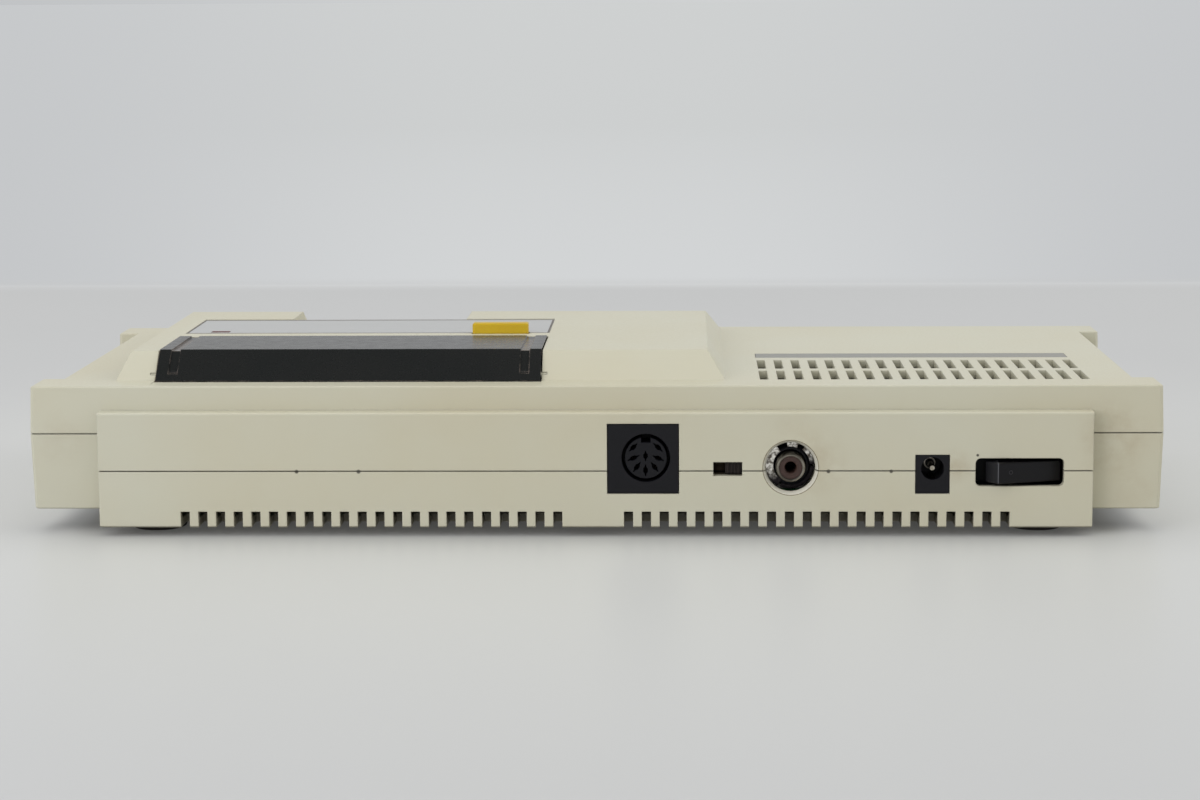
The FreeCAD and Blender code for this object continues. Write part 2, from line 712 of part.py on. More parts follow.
def upper_case():
    """The upper shell: drafted walls, the raised deck, the well, the grille and half of the bay."""
    chute = [span(DOOR_MID, SLOT_WIDTH), span(SLOT_Y, "slot_depth")]
    kept = [
        block("well_block", grown(WELL_XS, "well_wall"), grown(WELL_YS, "well_wall"),
              (f"{WELL_FLOOR} - well_wall", DECK_TOP)),
        block("chute_block", grown(chute[0], "well_wall"), grown(chute[1], "well_wall"),
              (CHUTE_BOTTOM, WELL_FLOOR)),
        block("notch_block", grown(span(CARD_X, "notch_width"), "wall"), ("front_y", CARD_FRONT),
              ("top_z - wall", DECK_TOP)),
    ]
    shell = upper_outside()
    room = less("upper_case_room", upper_room(), kept)
    bay_room = block("bay_room", (f"wall - {BAY_HALF}", f"{BAY_HALF} - wall"),
                     (f"{REAR} - wall * 2", BAY_WALL),
                     ("bay_split_z - wall", "bay_top_z - wall"))
    ring = doc.addObject("PartDesign::Body", "rebate_body")
    ring_plan = outline(ring, "rebate_plan", "XY_Plane", plan("(wall - lip - fit_gap)"), "split_z - wall")
    pad(ring, "rebate", ring_plan, "wall + lip_rise + fit_gap")
    behind = block("rebate_limit", (f"-{BAY_HALF}", BAY_HALF), (f"{REAR} - wall * 2", BAY_REAR),
                   ("split_z - wall", "top_z"))
    rebate = less("upper_rebate", ring, [behind])
    walls = less("upper_case_walls", shell, [room, bay_room, rebate])

    columns = [peg(f"upper_boss_{place}", (x, y, "boss_meet_z"), "upper_boss_radius",
                   f"{DECK_TOP} - boss_meet_z")
               for place, (x, y) in enumerate(BOSSES)]
    columns += [block(f"{name}_hanger_{side}", span(f"({x} + {side} * {half})", "hanger_width"),
                      span(y, "hanger_width"), (SMALL_BOARD_TOP, DECK_TOP))
                for name, x, y, half, width in SMALL_BOARDS for side in (-1, 1)]
    below = block("boss_reach", (f"wall - {HALF}", f"{HALF} - wall"), ("front_y + wall", f"{REAR} - wall"),
                  ("boss_meet_z", "split_z + wall"))
    envelope = joined("upper_case_envelope", [shell, below])
    carriers = shared("upper_bosses", group("upper_columns", columns), envelope)
    built = joined("upper_case_built", [walls, carriers])

    ledge = block("well_ledge_block", WELL_XS, (WELL_YS[0], f"{DOOR_FRONT} + well_ledge"),
                  (f"{DOOR_TOP} - door_thick - fit_gap - well_ledge * 2",
                   f"{DOOR_TOP} - door_thick - fit_gap"))
    well = block("well_opening", WELL_XS, WELL_YS, (WELL_FLOOR, f"{DECK_TOP} + {OVER}"))
    above = f"{DECK_TOP} + {OVER}"
    tools = rear_openings("upper") + [
        less("well_room", well, [ledge]),
        block("cartridge_slot", *chute, (f"{CHUTE_BOTTOM} - {OVER}", f"{WELL_FLOOR} + {OVER}")),
        block("finger_recess", WELL_XS, (DECK_REAR, f"{DECK_REAR} + recess_depth + move_gap"),
              ("top_z - recess_deep", DECK_TOP)),
        block("plate_recess", grown((DOOR_X, DOOR_END), "fit_gap"),
              (f"{PLATE_FRONT} - {OVER}", f"{PLATE_REAR} + fit_gap"),
              (f"{PLATE_TOP} - plate_thick", above)),
        block("card_notch", span(CARD_X, "notch_width"), (f"front_y - {OVER}", PLATE_FRONT),
              ("top_z", above)),
        block("card_mouth", span(CARD_X, "card_width"),
              (f"{PLATE_FRONT} - {OVER}", f"{CARD_FRONT} + {OVER}"),
              (CARD_Z, f"{CARD_Z} + card_slot")),
        block("led_hole", grown(span(LED_X, "led_width"), "fit_gap"),
              grown(span(LED_Y, "led_depth"), "fit_gap"),
              (f"{DECK_UNDER} - {OVER}", above)),
        block("button_hole", grown(span(BUTTON_MID_X, "button_width"), "move_gap"),
              grown(span(BUTTON_MID_Y, "button_depth"), "move_gap"), (f"{DECK_UNDER} - {OVER}", above)),
        band("band_recess", "fit_gap", f"top_z + {OVER}"),
        rod("hinge_hole_low", (f"{DOOR_X} - pin_reach - fit_gap", HINGE_Y, HINGE_Z), "pin_radius + run_gap",
            "pin_reach", "x"),
        rod("hinge_hole_high", (f"{DOOR_END} + fit_gap", HINGE_Y, HINGE_Z), "pin_radius + run_gap",
            "pin_reach", "x"),
    ]
    tools += [peg(f"{name}_pilot_{side}", (f"{x} + {side} * {half}", y, f"{SMALL_BOARD_TOP} - {OVER}"),
                  "small_screw_radius", f"small_screw_length - small_board_thick + {OVER} * 2")
              for name, x, y, half, width in SMALL_BOARDS for side in (-1, 1)]
    tools += [peg(f"upper_pilot_{place}", (x, y, f"boss_meet_z - {OVER}"), "screw_radius",
                  f"{SCREW_SEAT} + screw_length - boss_meet_z + {OVER} * 2")
              for place, (x, y) in enumerate(BOSSES)]
    grille = group("grille_slots", [
        block(f"grille_slot_{line}_{place}",
              (f"{GRILLE_END} - grille_slot - grille_pitch * {place}",
               f"{GRILLE_END} - grille_pitch * {place}"),
              (f"{REAR} - grille_rear - grille_length - (grille_length + grille_gap) * {line}",
               f"{REAR} - grille_rear - (grille_length + grille_gap) * {line}"),
              (f"top_z - wall - {OVER}", f"top_z + {OVER}"))
        for line in (0, 1) for place in range(grille_count())])
    return less("upper_case", less("upper_case_vented", built, [grille]), tools)


def grille_count():
    """How many slots fit between the deck and the dock's wall."""
    return 1 + int(value(f"({GRILLE_END} + {DOCK} - grille_side - grille_slot) / grille_pitch"))


def band(name, gap, top):
    """The grey band's space in front of the grille, as wide as the slots."""
    width = f"(grille_pitch * {grille_count() - 1} + grille_slot)"
    rear = f"{REAR} - grille_rear - grille_length * 2 - grille_gap - band_gap"
    return block(name, grown((f"{GRILLE_END} - {width}", GRILLE_END), gap),
                 grown((f"{rear} - band_depth", rear), gap), ("top_z - band_thick", top))


def lower_outside():
    """The lower shell's outside: drafted walls and a deeper middle that reaches back under the bay."""
    shell = doc.addObject("PartDesign::Body", "lower_case_outside")
    high = "split_z - parting_gap / 2"
    walls = outline(shell, "lower_plan", "XY_Plane", plan("0"), high)
    pad(shell, "lower_walls", walls, f"{high} - flank_z", down=True, taper="draft")
    dressed(shell, "lower_corners", "Chamfer", "edge_round", upright_corner)
    dressed(shell, "lower_rim", "Chamfer", "edge_round * 0.4",
            lambda edge: near(edge.BoundBox.ZMax, "flank_z"))
    tub = outline(shell, "tub_plan", "XY_Plane",
                  oblong((f"-{BAY_HALF}", BAY_HALF), ("front_y + edge_round", BAY_REAR)), "base_z")
    pad(shell, "tub", tub, "bay_split_z - parting_gap / 2 - base_z")
    dressed(shell, "tub_rim", "Chamfer", "small_round", lambda edge: near(edge.BoundBox.ZMax, "base_z"))
    return shell


def lower_room():
    """The room inside the lower shell, down into the deeper middle."""
    hollow = doc.addObject("PartDesign::Body", "lower_case_hollow")
    room = outline(hollow, "lower_hollow_plan", "XY_Plane", plan("wall"), "flank_z + wall")
    pad(hollow, "lower_hollow_walls", room, "split_z")
    deep = outline(hollow, "tub_hollow_plan", "XY_Plane",
                   oblong((f"wall - {BAY_HALF}", f"{BAY_HALF} - wall"),
                          ("front_y + edge_round + wall", BAY_WALL)),
                   "base_z + wall")
    pad(hollow, "tub_hollow", deep, "split_z")
    return hollow


def lower_case():
    """The lower shell: drafted walls, a deeper middle, half of the bay, bosses, posts and vents."""
    shell = lower_outside()
    lips = doc.addObject("PartDesign::Body", "lip_body")
    lip_plan = outline(lips, "lip_plan", "XY_Plane", plan("(wall - lip)"), "split_z - wall")
    pad(lips, "lip_ring", lip_plan, "wall + lip_rise")
    gate = block("bay_gate", grown((f"-{BAY_HALF}", BAY_HALF), "fit_gap"),
                 (f"{REAR} - wall - fit_gap", f"{BAY_REAR} + {OVER}"),
                 ("bay_split_z - parting_gap / 2", "top_z"))
    outside = less("lower_case_gated", joined("lower_case_ring", [shell, lips]), [gate])
    walls = less("lower_case_walls", outside, [lower_room()])

    columns = [peg(f"lower_boss_{place}", (x, y, "base_z + wall / 2"), "boss_radius",
                   "boss_meet_z - base_z - wall / 2")
               for place, (x, y) in enumerate(BOSSES)]
    columns += [peg(f"board_post_{place}", (x, y, "base_z + wall / 2"), "post_radius",
                    f"{BOARD_BOTTOM} - base_z - wall / 2") for place, (x, y) in enumerate(POSTS)]
    carriers = shared("lower_bosses", group("lower_columns", columns), shell)
    bay_lip = block("bay_lip", (f"wall - {BAY_HALF}", f"{BAY_HALF} - wall"),
                    (f"{BAY_WALL} - lip - fit_gap", f"{BAY_WALL} - fit_gap"),
                    ("bay_split_z - parting_gap / 2 - wall", "bay_split_z + lip_rise"))
    lip_foot = block("bay_lip_foot", (f"wall - {BAY_HALF}", f"{BAY_HALF} - wall"),
                     (f"{BAY_WALL} - lip - fit_gap", BAY_WALL),
                     ("bay_split_z - parting_gap / 2 - wall", "bay_split_z - parting_gap / 2"))
    built = joined("lower_case_built", [walls, carriers, bay_lip, lip_foot])

    front = (f"front_y - {OVER}", "front_y + wall * 2")
    tools = rear_openings("lower") + [
        block("power_lip_gap", span(POWER_X, "power_opening + wall"),
              (f"{BAY_WALL} - wall * 2", BAY_WALL),
              (BOARD_BOTTOM, "split_z")),
        block("expansion_opening", span("expansion_x", "expansion_width"), front,
              span(EXPANSION_Z, "expansion_height")),
    ]
    tools += [block(f"port_opening_{place}", span(x, "port_opening"), front,
                    span(PORT_Z, "port_opening_height"))
              for place, x in enumerate(PORTS)]
    for place, (x, y) in enumerate(BOSSES):
        tools.append(peg(f"screw_well_{place}", (x, y, f"base_z - {OVER}"),
                         "screw_head_radius + screw_well_gap",
                         f"screw_well + {OVER}"))
        tools.append(peg(f"screw_hole_{place}", (x, y, "base_z"), "screw_radius + fit_gap", "boss_meet_z"))
    tools += [peg(f"post_pilot_{place}", (x, y, "base_z + wall"), "small_screw_radius", BOARD_TOP)
              for place, (x, y) in enumerate(POSTS)]
    count = 1 + int(value(f"({BAY_HALF} - vent_side - vent_start - vent_width) / vent_pitch"))
    vents = group("bay_vents", [
        block(f"bay_vent_{side}_{place}",
              span(f"({side} * (vent_start + vent_width / 2 + vent_pitch * {place}))", "vent_width"),
              (f"{BAY_REAR} - vent_run", f"{BAY_REAR} + {OVER}"), (f"base_z - {OVER}", "vent_top_z"))
        for side in (-1, 1) for place in range(count)])
    return less("lower_case", less("lower_case_vented", built, [vents]), tools)


def rubber_feet():
    """Four round feet, stuck under the tub."""
    return group("rubber_feet", [
        rod(f"foot_{place}", (x, y, "0"), "foot_radius", "base_z") for place, (x, y) in enumerate(FEET)])


def screw(name, x, y, seat, up, head, head_height, shank, length):
    """A screw whose head's underside sits at a height, with the shank up or down from there."""
    head_low = f"{seat} - {head_height}" if up > 0 else seat
    shank_low = f"{seat} - {head_height} / 2" if up > 0 else f"{seat} - {length}"
    return joined(name, [
        peg(f"{name}_head", (x, y, head_low), head, head_height),
        peg(f"{name}_shank", (x, y, shank_low), shank, f"{length} + {head_height} / 2")])


def case_screws():
    """Six screws from below, whose heads pull on the webs in the lower bosses."""
    return group("case_screws", [
        screw(f"case_screw_{place}", x, y, SCREW_SEAT, 1, "screw_head_radius", "screw_head_height",
              "screw_radius - run_gap / 2", "screw_length") for place, (x, y) in enumerate(BOSSES)])


def board_screws():
    """Six screws that hold the main board on its posts."""
    return group("board_screws", [
        screw(f"board_screw_{place}", x, y, BOARD_TOP, -1, "small_head_radius", "small_head_height",
              "small_screw_radius - run_gap / 2", "small_screw_length")
        for place, (x, y) in enumerate(POSTS)])


def small_board_screws():
    """The four screws of the two small boards, from below."""
    return group("small_board_screws", [
        screw(f"{name}_screw_{side}", f"{x} + {side} * {half}", y, SMALL_BOARD_UNDER, 1,
              "small_head_radius", "small_head_height", "small_screw_radius - run_gap / 2",
              "small_screw_length")
        for name, x, y, half, width in SMALL_BOARDS for side in (-1, 1)])


def main_board():
    """The main circuit board on its six posts, with holes for the screws and the middle bosses."""
    blank = block("board_blank", (f"-{BOARD_HALF}", BOARD_HALF), (BOARD_FRONT, BOARD_REAR),
                  (BOARD_BOTTOM, BOARD_TOP))
    low = f"{BOARD_BOTTOM} - {OVER}"
    through = f"board_thick + {OVER} * 2"
    holes = [peg(f"board_hole_{place}", (x, y, low), "small_screw_radius + fit_gap", through)
             for place, (x, y) in enumerate(POSTS)]
    holes += [peg(f"board_gap_{place}", (x, y, low), "boss_radius + move_gap", through)
              for place, (x, y) in enumerate(BOSSES) if x == "boss_mid_x"]
    return less("main_board", blank, holes)


def slope_point(z, inward):
    """A point of the door's rear slope at a height, an inward distance below its face."""
    return f"{DECK_REAR} + (door_proud - {inward}) / sin({SLOPE}) - ({z} - top_z) / tan({SLOPE})", z


def cartridge_door():
    """The black flap: a top and a rear slope in one, with two grooves, knuckles and stub pins."""
    flap = doc.addObject("PartDesign::Body", "door_flap")
    low_z = "(top_z + door_lift)"
    under = f"({DOOR_TOP} - door_thick)"
    outer_low = slope_point(low_z, "0")
    inner_low = (f"{outer_low[0]} - door_thick * sin({SLOPE})", f"{low_z} - door_thick * cos({SLOPE})")
    profile = outline(flap, "door_profile", "YZ_Plane", [
        (DOOR_FRONT, DOOR_TOP), slope_point(DOOR_TOP, "0"), outer_low, inner_low,
        slope_point(under, "door_thick"), (DOOR_FRONT, under)], DOOR_X)
    pad(flap, "door_plate", profile, "door_width")
    dressed(flap, "door_edges", "Fillet", "small_round",
            lambda edge: edge.BoundBox.XLength > 50 and near(edge.BoundBox.ZMin, DOOR_TOP))

    grooves = []
    end_z = f"({DOOR_TOP} - groove_drop)"
    for side, x in (("low", f"{DOOR_X} + groove_in"), ("high", f"{DOOR_END} - groove_in - groove_width")):
        cutter = doc.addObject("PartDesign::Body", f"door_groove_{side}")
        line = outline(cutter, f"door_groove_line_{side}", "YZ_Plane", [
            (f"{DOOR_FRONT} - {OVER}", f"{DOOR_TOP} + {OVER}"),
            slope_point(f"({DOOR_TOP} + {OVER})", f"-{OVER}"),
            slope_point(end_z, f"-{OVER}"), slope_point(end_z, "groove_deep"),
            slope_point(f"({DOOR_TOP} - groove_deep)", "groove_deep"),
            (f"{DOOR_FRONT} - {OVER}", f"{DOOR_TOP} - groove_deep")], x)
        pad(cutter, f"door_groove_run_{side}", line, "groove_width")
        grooves.append(cutter)
    pieces = [less("door_grooved", flap, grooves)]
    for side, x, pin_x in (("low", DOOR_X, f"{DOOR_X} - pin_reach"),
                           ("high", f"{DOOR_END} - knuckle_length", f"{DOOR_END} - {OVER}")):
        pieces.append(peg(f"door_knuckle_{side}", (x, HINGE_Y, HINGE_Z), "knuckle_radius", "knuckle_length",
                          "x"))
        pieces.append(rod(f"door_pin_{side}", (pin_x, HINGE_Y, HINGE_Z), "pin_radius",
                          f"pin_reach + {OVER}", "x"))
    return joined("cartridge_door", pieces)


def legend_plate():
    """The thin silver-grey plate in its recess, with a window and a notch for the button."""
    blank = block("plate_blank", (DOOR_X, DOOR_END), (PLATE_FRONT, PLATE_REAR),
                  (f"{PLATE_TOP} - plate_thick", PLATE_TOP))
    through = (DECK_UNDER, f"{DECK_TOP} + {OVER}")
    window = block("plate_window", grown(span(LED_X, "led_width"), "fit_gap"),
                   grown(span(LED_Y, "led_depth"), "fit_gap"), through)
    notch = block("plate_notch", grown(span(BUTTON_MID_X, "button_width"), "move_gap"),
                  grown(span(BUTTON_MID_Y, "button_depth"), "move_gap"), through)
    return less("legend_plate", blank, [window, notch])


def power_led():
    """The red indicator, flush with the legend plate."""
    return block("power_led", span(LED_X, "led_width"), span(LED_Y, "led_depth"),
                 (f"{PLATE_TOP} - led_height", PLATE_TOP))


def led_leads():
    """The indicator's two leads, which stand on its small board."""
    return group("led_leads", [
        block(f"led_lead_{side}", span(f"({LED_X} + {side} * lead_half_pitch)", "lead_thick"),
              span(LED_Y, "lead_thick"), (SMALL_BOARD_TOP, f"{PLATE_TOP} - led_height"))
        for side in (-1, 1)])


def small_board(name, x, screw_y, half, width):
    """A small board that hangs under the deck by two screws."""
    blank = block(f"{name}_blank", span(x, width),
                  (f"{screw_y} - small_board_edge", f"{PLATE_REAR} + small_board_back"),
                  (SMALL_BOARD_UNDER, SMALL_BOARD_TOP))
    holes = [peg(f"{name}_hole_{side}",
                 (f"{x} + {side} * {half}", screw_y, f"{SMALL_BOARD_UNDER} - {OVER}"),
                 "small_screw_radius + fit_gap", f"small_board_thick + {OVER} * 2") for side in (-1, 1)]
    return less(name, blank, holes)


def ribbon(name, x, width):
    """A short flat cable from a small board down to the main board."""
    return block(name, span(x, width), span(f"({PLATE_REAR} - ribbon_in)", "ribbon_thick"),
                 (BOARD_TOP, SMALL_BOARD_UNDER))


def pause_switch():
    """The push switch on its board, with a blind bore for the plunger."""
    case = block("pause_switch_block", span(BUTTON_MID_X, "switch_width"),
                 span(BUTTON_MID_Y, "switch_depth"),
                 (SMALL_BOARD_TOP, f"{SMALL_BOARD_TOP} + switch_height"))
    bore = peg("pause_switch_bore", (BUTTON_MID_X, BUTTON_MID_Y, f"{SMALL_BOARD_TOP} + switch_floor"),
               "plunger_radius + run_gap", "switch_height")
    return less("pause_switch", case, [bore])


def pause_plunger():
    """The switch's plunger, which moves with the button."""
    low = f"({SMALL_BOARD_TOP} + switch_floor + button_travel + move_gap)"
    return peg("pause_plunger", (BUTTON_MID_X, BUTTON_MID_Y, low), "plunger_radius",
               f"{FLANGE_LOW} - {low}")


def pause_button():
    """The yellow cap, held under the deck by its flange."""
    cap_top = f"{DECK_TOP} + button_rise"
    cap = block("button_cap", span(BUTTON_MID_X, "button_width"), span(BUTTON_MID_Y, "button_depth"),
                (f"{FLANGE_LOW} + flange_thick / 2", cap_top))
    soft_cap = softened("button_soft_cap", cap, "button_round",
                        lambda edge: near(edge.BoundBox.ZMin, cap_top))
    flange = block("button_flange", grown(span(BUTTON_MID_X, "button_width"), "flange_out"),
                   grown(span(BUTTON_MID_Y, "button_depth"), "flange_out"),
                   (FLANGE_LOW, f"{FLANGE_LOW} + flange_thick"))
    return joined("pause_button", [soft_cap, flange])


def card_guide():
    """The sleeve that takes the game card, under the deck behind the notch."""
    sleeve = block("card_sleeve", grown(span(CARD_X, "card_width"), "guide_wall"), (CARD_FRONT, CARD_REAR),
                   (CARD_LOW, DECK_UNDER))
    way = block("card_way", span(CARD_X, "card_width"), (f"{CARD_FRONT} - {OVER}", f"{CARD_REAR} + {OVER}"),
                (CARD_Z, f"{CARD_Z} + card_slot"))
    return less("card_guide", sleeve, [way])


def card_connector():
    """The card's edge connector on its riser board."""
    case = block("card_connector_block", span(CARD_X, "riser_width"), (CARD_REAR, RISER_FRONT),
                 (CARD_LOW, DECK_UNDER))
    mouth = block("card_connector_mouth", span(CARD_X, "card_width"), (f"{CARD_REAR} - {OVER}", CARD_STOP),
                  (CARD_Z, f"{CARD_Z} + card_slot"))
    return less("card_connector", case, [mouth])


def contact_row(name, count, x, ys, zs):
    """A row of flat contacts at the contact pitch along X."""
    total = int(value(count))
    return [block(f"{name}_{place}",
                  span(f"({x} + contact_pitch * ({place} - {(total - 1) / 2}))", "contact_width"),
                  ys, zs) for place in range(total)]


def card_contacts():
    """The spring contacts on the floor of the card connector."""
    return group("card_contacts", contact_row(
        "card_contact", "card_ways", CARD_X, (f"{CARD_REAR} + contact_thick", CARD_STOP),
        (CARD_Z, f"{CARD_Z} + contact_thick")))


def card_riser_board():
    """The upright board that carries the card connector."""
    return block("card_riser_board", span(CARD_X, "riser_width"),
                 (RISER_FRONT, f"{RISER_FRONT} + riser_thick"),
                 (f"{BOARD_TOP} + riser_foot", DECK_UNDER))


def riser_header():
    """The socket on the main board that holds the riser."""
    ys = (RISER_FRONT, f"{RISER_FRONT} + riser_thick")
    case = block("riser_header_block", grown(span(CARD_X, "riser_width"), "header_wall"),
                 grown(ys, "header_wall"),
                 (BOARD_TOP, f"{BOARD_TOP} + header_height"))
    slot = block("riser_header_slot", grown(span(CARD_X, "riser_width"), "fit_gap"), ys,
                 (f"{BOARD_TOP} + riser_foot", f"{BOARD_TOP} + header_height + {OVER}"))
    return less("riser_header", case, [slot])


def cartridge_connector():
    """The edge connector under the chute."""
    ways = "contact_pitch * cartridge_ways"
    case = block("cartridge_connector_block", grown(span(DOOR_MID, ways), "connector_end"),
                 span(SLOT_Y, "connector_depth"), (BOARD_TOP, f"{BOARD_TOP} + connector_height"))
    mouth = block("cartridge_connector_mouth", grown(span(DOOR_MID, ways), "mouth_end"),
                  span(SLOT_Y, "mouth_depth"),
                  (f"{BOARD_TOP} + connector_floor", f"{BOARD_TOP} + connector_height + {OVER}"))
    return less("cartridge_connector", case, [mouth])


def cartridge_contacts():
    """Two rows of contacts against the walls of the cartridge connector's slot."""
    rows = []
    zs = (f"{BOARD_TOP} + connector_floor", f"{BOARD_TOP} + connector_height - contact_width")
    for name, side in (("front_contact", -1), ("rear_contact", 1)):
        middle = f"({SLOT_Y} + {side} * (mouth_depth - contact_thick) / 2)"
        rows += contact_row(name, "cartridge_ways", DOOR_MID, span(middle, "contact_thick"), zs)
    return group("cartridge_contacts", rows)


def av_socket():
    """The black block with the round socket: a ring groove, a key and eight holes."""
    case = block("av_block", span("av_x", "av_width"), (f"{SOCKET_FACE} - av_depth", SOCKET_FACE),
                 (BOARD_TOP, f"{BOARD_TOP} + av_height"))
    groove = less("av_groove",
                  rod("av_groove_outer", (RING_X, RING_DEEP, RING_Z), "ring_outer", f"ring_deep + {OVER}",
                      "y"),
                  [rod("av_groove_inner", (RING_X, f"{RING_DEEP} - {OVER}", RING_Z), "ring_inner",
                       f"ring_deep + {OVER} * 3", "y")])
    key = block("av_key", span(RING_X, "key_width"), (RING_DEEP, f"{SOCKET_FACE} + {OVER}"),
                (f"{RING_Z} + ring_inner - key_in", f"{RING_Z} + ring_outer - key_out"))
    holes = [peg(f"av_hole_{place}", (x, RING_DEEP, z), "av_contact_radius + fit_gap",
                 f"ring_deep + {OVER}", "y")
             for place, (x, z) in enumerate(AV_WAYS)]
    return less("av_socket", case, [groove, key, *holes])


def av_contacts():
    """The eight contacts, each at the bottom of its hole."""
    return group("av_contacts", [
        peg(f"av_contact_{place}", (x, RING_DEEP, z), "av_contact_radius", "ring_deep - av_contact_back",
            "y")
        for place, (x, z) in enumerate(AV_WAYS)])


def rf_modulator():
    """The tinned can that makes the aerial signal."""
    return block("rf_modulator", span("can_x", "can_width"), (f"{CAN_REAR} - can_depth", CAN_REAR),
                 (BOARD_TOP, f"{BOARD_TOP} + can_height"))


def jack_tube(name, outer, inner, end, start=CAN_REAR, outside=rod, inside=rod):
    """A tube on the aerial jack's axis, from the can's rear face or from the start given."""
    solid = outside(f"{name}_outer", ("jack_x", start, JACK_Z), outer, f"{end} - {start}", "y")
    bore = inside(f"{name}_inner", ("jack_x", f"{start} - {OVER}", JACK_Z), inner,
                  f"{end} - {start} + {OVER} * 2", "y")
    return less(name, solid, [bore])


def channel_switch():
    """The channel switch on the can's rear face."""
    case = block("channel_block", span("channel_x", "channel_body"),
                 (CAN_REAR, f"{CAN_REAR} + channel_body_depth"),
                 span(CHANNEL_Z, "channel_body_height"))
    way = block("channel_way", grown(span("channel_x", "slider_width + channel_travel"), "move_gap"),
                (f"{CAN_REAR} + channel_floor", f"{CAN_REAR} + channel_body_depth + {OVER}"),
                grown(span(CHANNEL_Z, "slider_height"), "fit_gap"))
    return less("channel_switch", case, [way])


def channel_slider():
    """The recessed slider, at the end of its way."""
    return block("channel_slider", span("(channel_x - channel_travel / 2)", "slider_width"),
                 (f"{CAN_REAR} + channel_floor + fit_gap", f"{BAY_REAR} - slider_back"),
                 span(CHANNEL_Z, "slider_height"))


def dc_jack():
    """The supply inlet's block with its round hole."""
    case = block("dc_block", span(DC_X, "dc_width"), (f"{SOCKET_FACE} - dc_depth", SOCKET_FACE),
                 (BOARD_TOP, f"{BOARD_TOP} + dc_height"))
    hole = rod("dc_hole", (DC_X, DC_HOLE_END, DC_HOLE_Z), "dc_hole_radius", f"dc_hole_deep + {OVER}", "y")
    return less("dc_jack", case, [hole])


def dc_jack_spring():
    """The contact spring along the inlet's wall."""
    low = f"{DC_HOLE_Z} - dc_hole_radius + fit_gap"
    return block("dc_jack_spring", span(DC_X, "dc_spring_width"),
                 (DC_HOLE_END, f"{SOCKET_FACE} - dc_spring_back"),
                 (low, f"{low} + dc_spring_thick"))


def power_switch():
    """The power switch's body, open to the back, with a bearing above and below."""
    case = block("power_block", grown(span(POWER_X, "power_opening"), "power_side"),
                 (f"{BAY_WALL} - power_body_depth", BAY_WALL),
                 (BOARD_TOP, f"{POWER_Z} + power_opening_height / 2 + power_ceiling"))
    room = block("power_room", span(POWER_X, "power_opening"),
                 (f"{PIVOT_Y} - rocker_hub - hub_clear", f"{BAY_WALL} + {OVER}"),
                 span(POWER_Z, "power_opening_height"))
    bearing = rod("power_bearing",
                  (POWER_X, PIVOT_Y, f"{POWER_Z} - power_opening_height / 2 - pivot_end - fit_gap"),
                  "pivot_radius + run_gap", "power_opening_height + (pivot_end + fit_gap) * 2")
    return less("power_switch", case, [room, bearing])


def power_rocker():
    """The rocker, tilted about its upright pin, with its left end proud of the bay."""
    bar = block("rocker_bar", span("0", "rocker_half * 2"), ("rocker_back", "rocker_face"),
                span("0", "rocker_height"))
    soft_bar = softened("rocker_soft_bar", bar, "small_round",
                        lambda edge: near(edge.BoundBox.YMin, "rocker_face"))
    hub = peg("rocker_hub_rod", ("0", "0", "-(rocker_height / 2)"), "rocker_hub", "rocker_height")
    pin = rod("rocker_pin_rod", ("0", "0", "-(power_opening_height / 2 + pivot_end)"), "pivot_radius",
              "power_opening_height + pivot_end * 2")
    rocker = joined("power_rocker", [soft_bar, hub, pin])
    return at(rocker, (POWER_X, PIVOT_Y, POWER_Z), {"Placement.Rotation.Angle": "rocker_tilt"})


def port_shell(name, x, inset, length):
    """The D-shaped space of a port's shell, drawn in by an inset."""
    half = f"(port_shell / 2 - {inset})"
    top = f"({PORT_Z} + port_shell_height / 2 - {inset})"
    bottom = f"({PORT_Z} - port_shell_height / 2 + {inset})"
    part = doc.addObject("PartDesign::Body", name)
    line = outline(part, f"{name}_line", "XZ_Plane", [
        (f"{x} - {half}", top), (f"{x} + {half}", top), (f"{x} + {half} - port_slant", bottom),
        (f"{x} - {half} + port_slant", bottom)], f"-({PORT_FACE})")
    pad(part, f"{name}_run", line, length)
    return part


def controller_ports():
    """Two nine-way ports: a block on the board with a D-shaped shell round the pins."""
    ports = []
    for place, x in enumerate(PORTS):
        case = block(f"port_block_{place}", span(x, "port_block"),
                     (PORT_FACE, f"{PORT_FACE} + port_block_depth"),
                     (BOARD_TOP, f"{BOARD_TOP} + port_up * 2"))
        outer = port_shell(f"port_outer_{place}", x, "0", "port_shell_out")
        inner = port_shell(f"port_inner_{place}", x, "port_shell_wall", f"port_shell_out + {OVER}")
        ports.append(joined(f"port_{place}", [case, less(f"port_shell_{place}", outer, [inner])]))
    return group("controller_ports", ports)


def port_pins():
    """Nine pins in each port, five over four."""
    pins = []
    for place, x in enumerate(PORTS):
        for count, row in ((5, "port_pin_row"), (4, "-port_pin_row")):
            for number in range(count):
                pins.append(peg(f"port_pin_{place}_{count}_{number}",
                                (f"{x} + port_pin_pitch * ({number} - {(count - 1) / 2})",
                                 f"{PORT_FACE} - port_pin_out",
                                 f"{PORT_Z} + {row}"), "port_pin_radius", "port_pin_out", "y"))
    return group("port_pins", pins)


def expansion_connector():
    """The socket behind the blank cover."""
    front = "front_y + expansion_back"
    case = block("expansion_block", grown(span("expansion_x", "expansion_width"), "(-expansion_end)"),
                 (front, f"{front} + expansion_depth"),
                 (BOARD_TOP, f"{BOARD_TOP} + expansion_floor * 2 + expansion_mouth"))
    mouth = block("expansion_mouth_room",
                  grown(span("expansion_x", "expansion_width"), "(-(expansion_end + expansion_wall))"),
                  (f"{front} - {OVER}", f"{front} + expansion_depth - expansion_wall"),
                  (f"{BOARD_TOP} + expansion_floor", f"{BOARD_TOP} + expansion_floor + expansion_mouth"))
    return less("expansion_connector", case, [mouth])


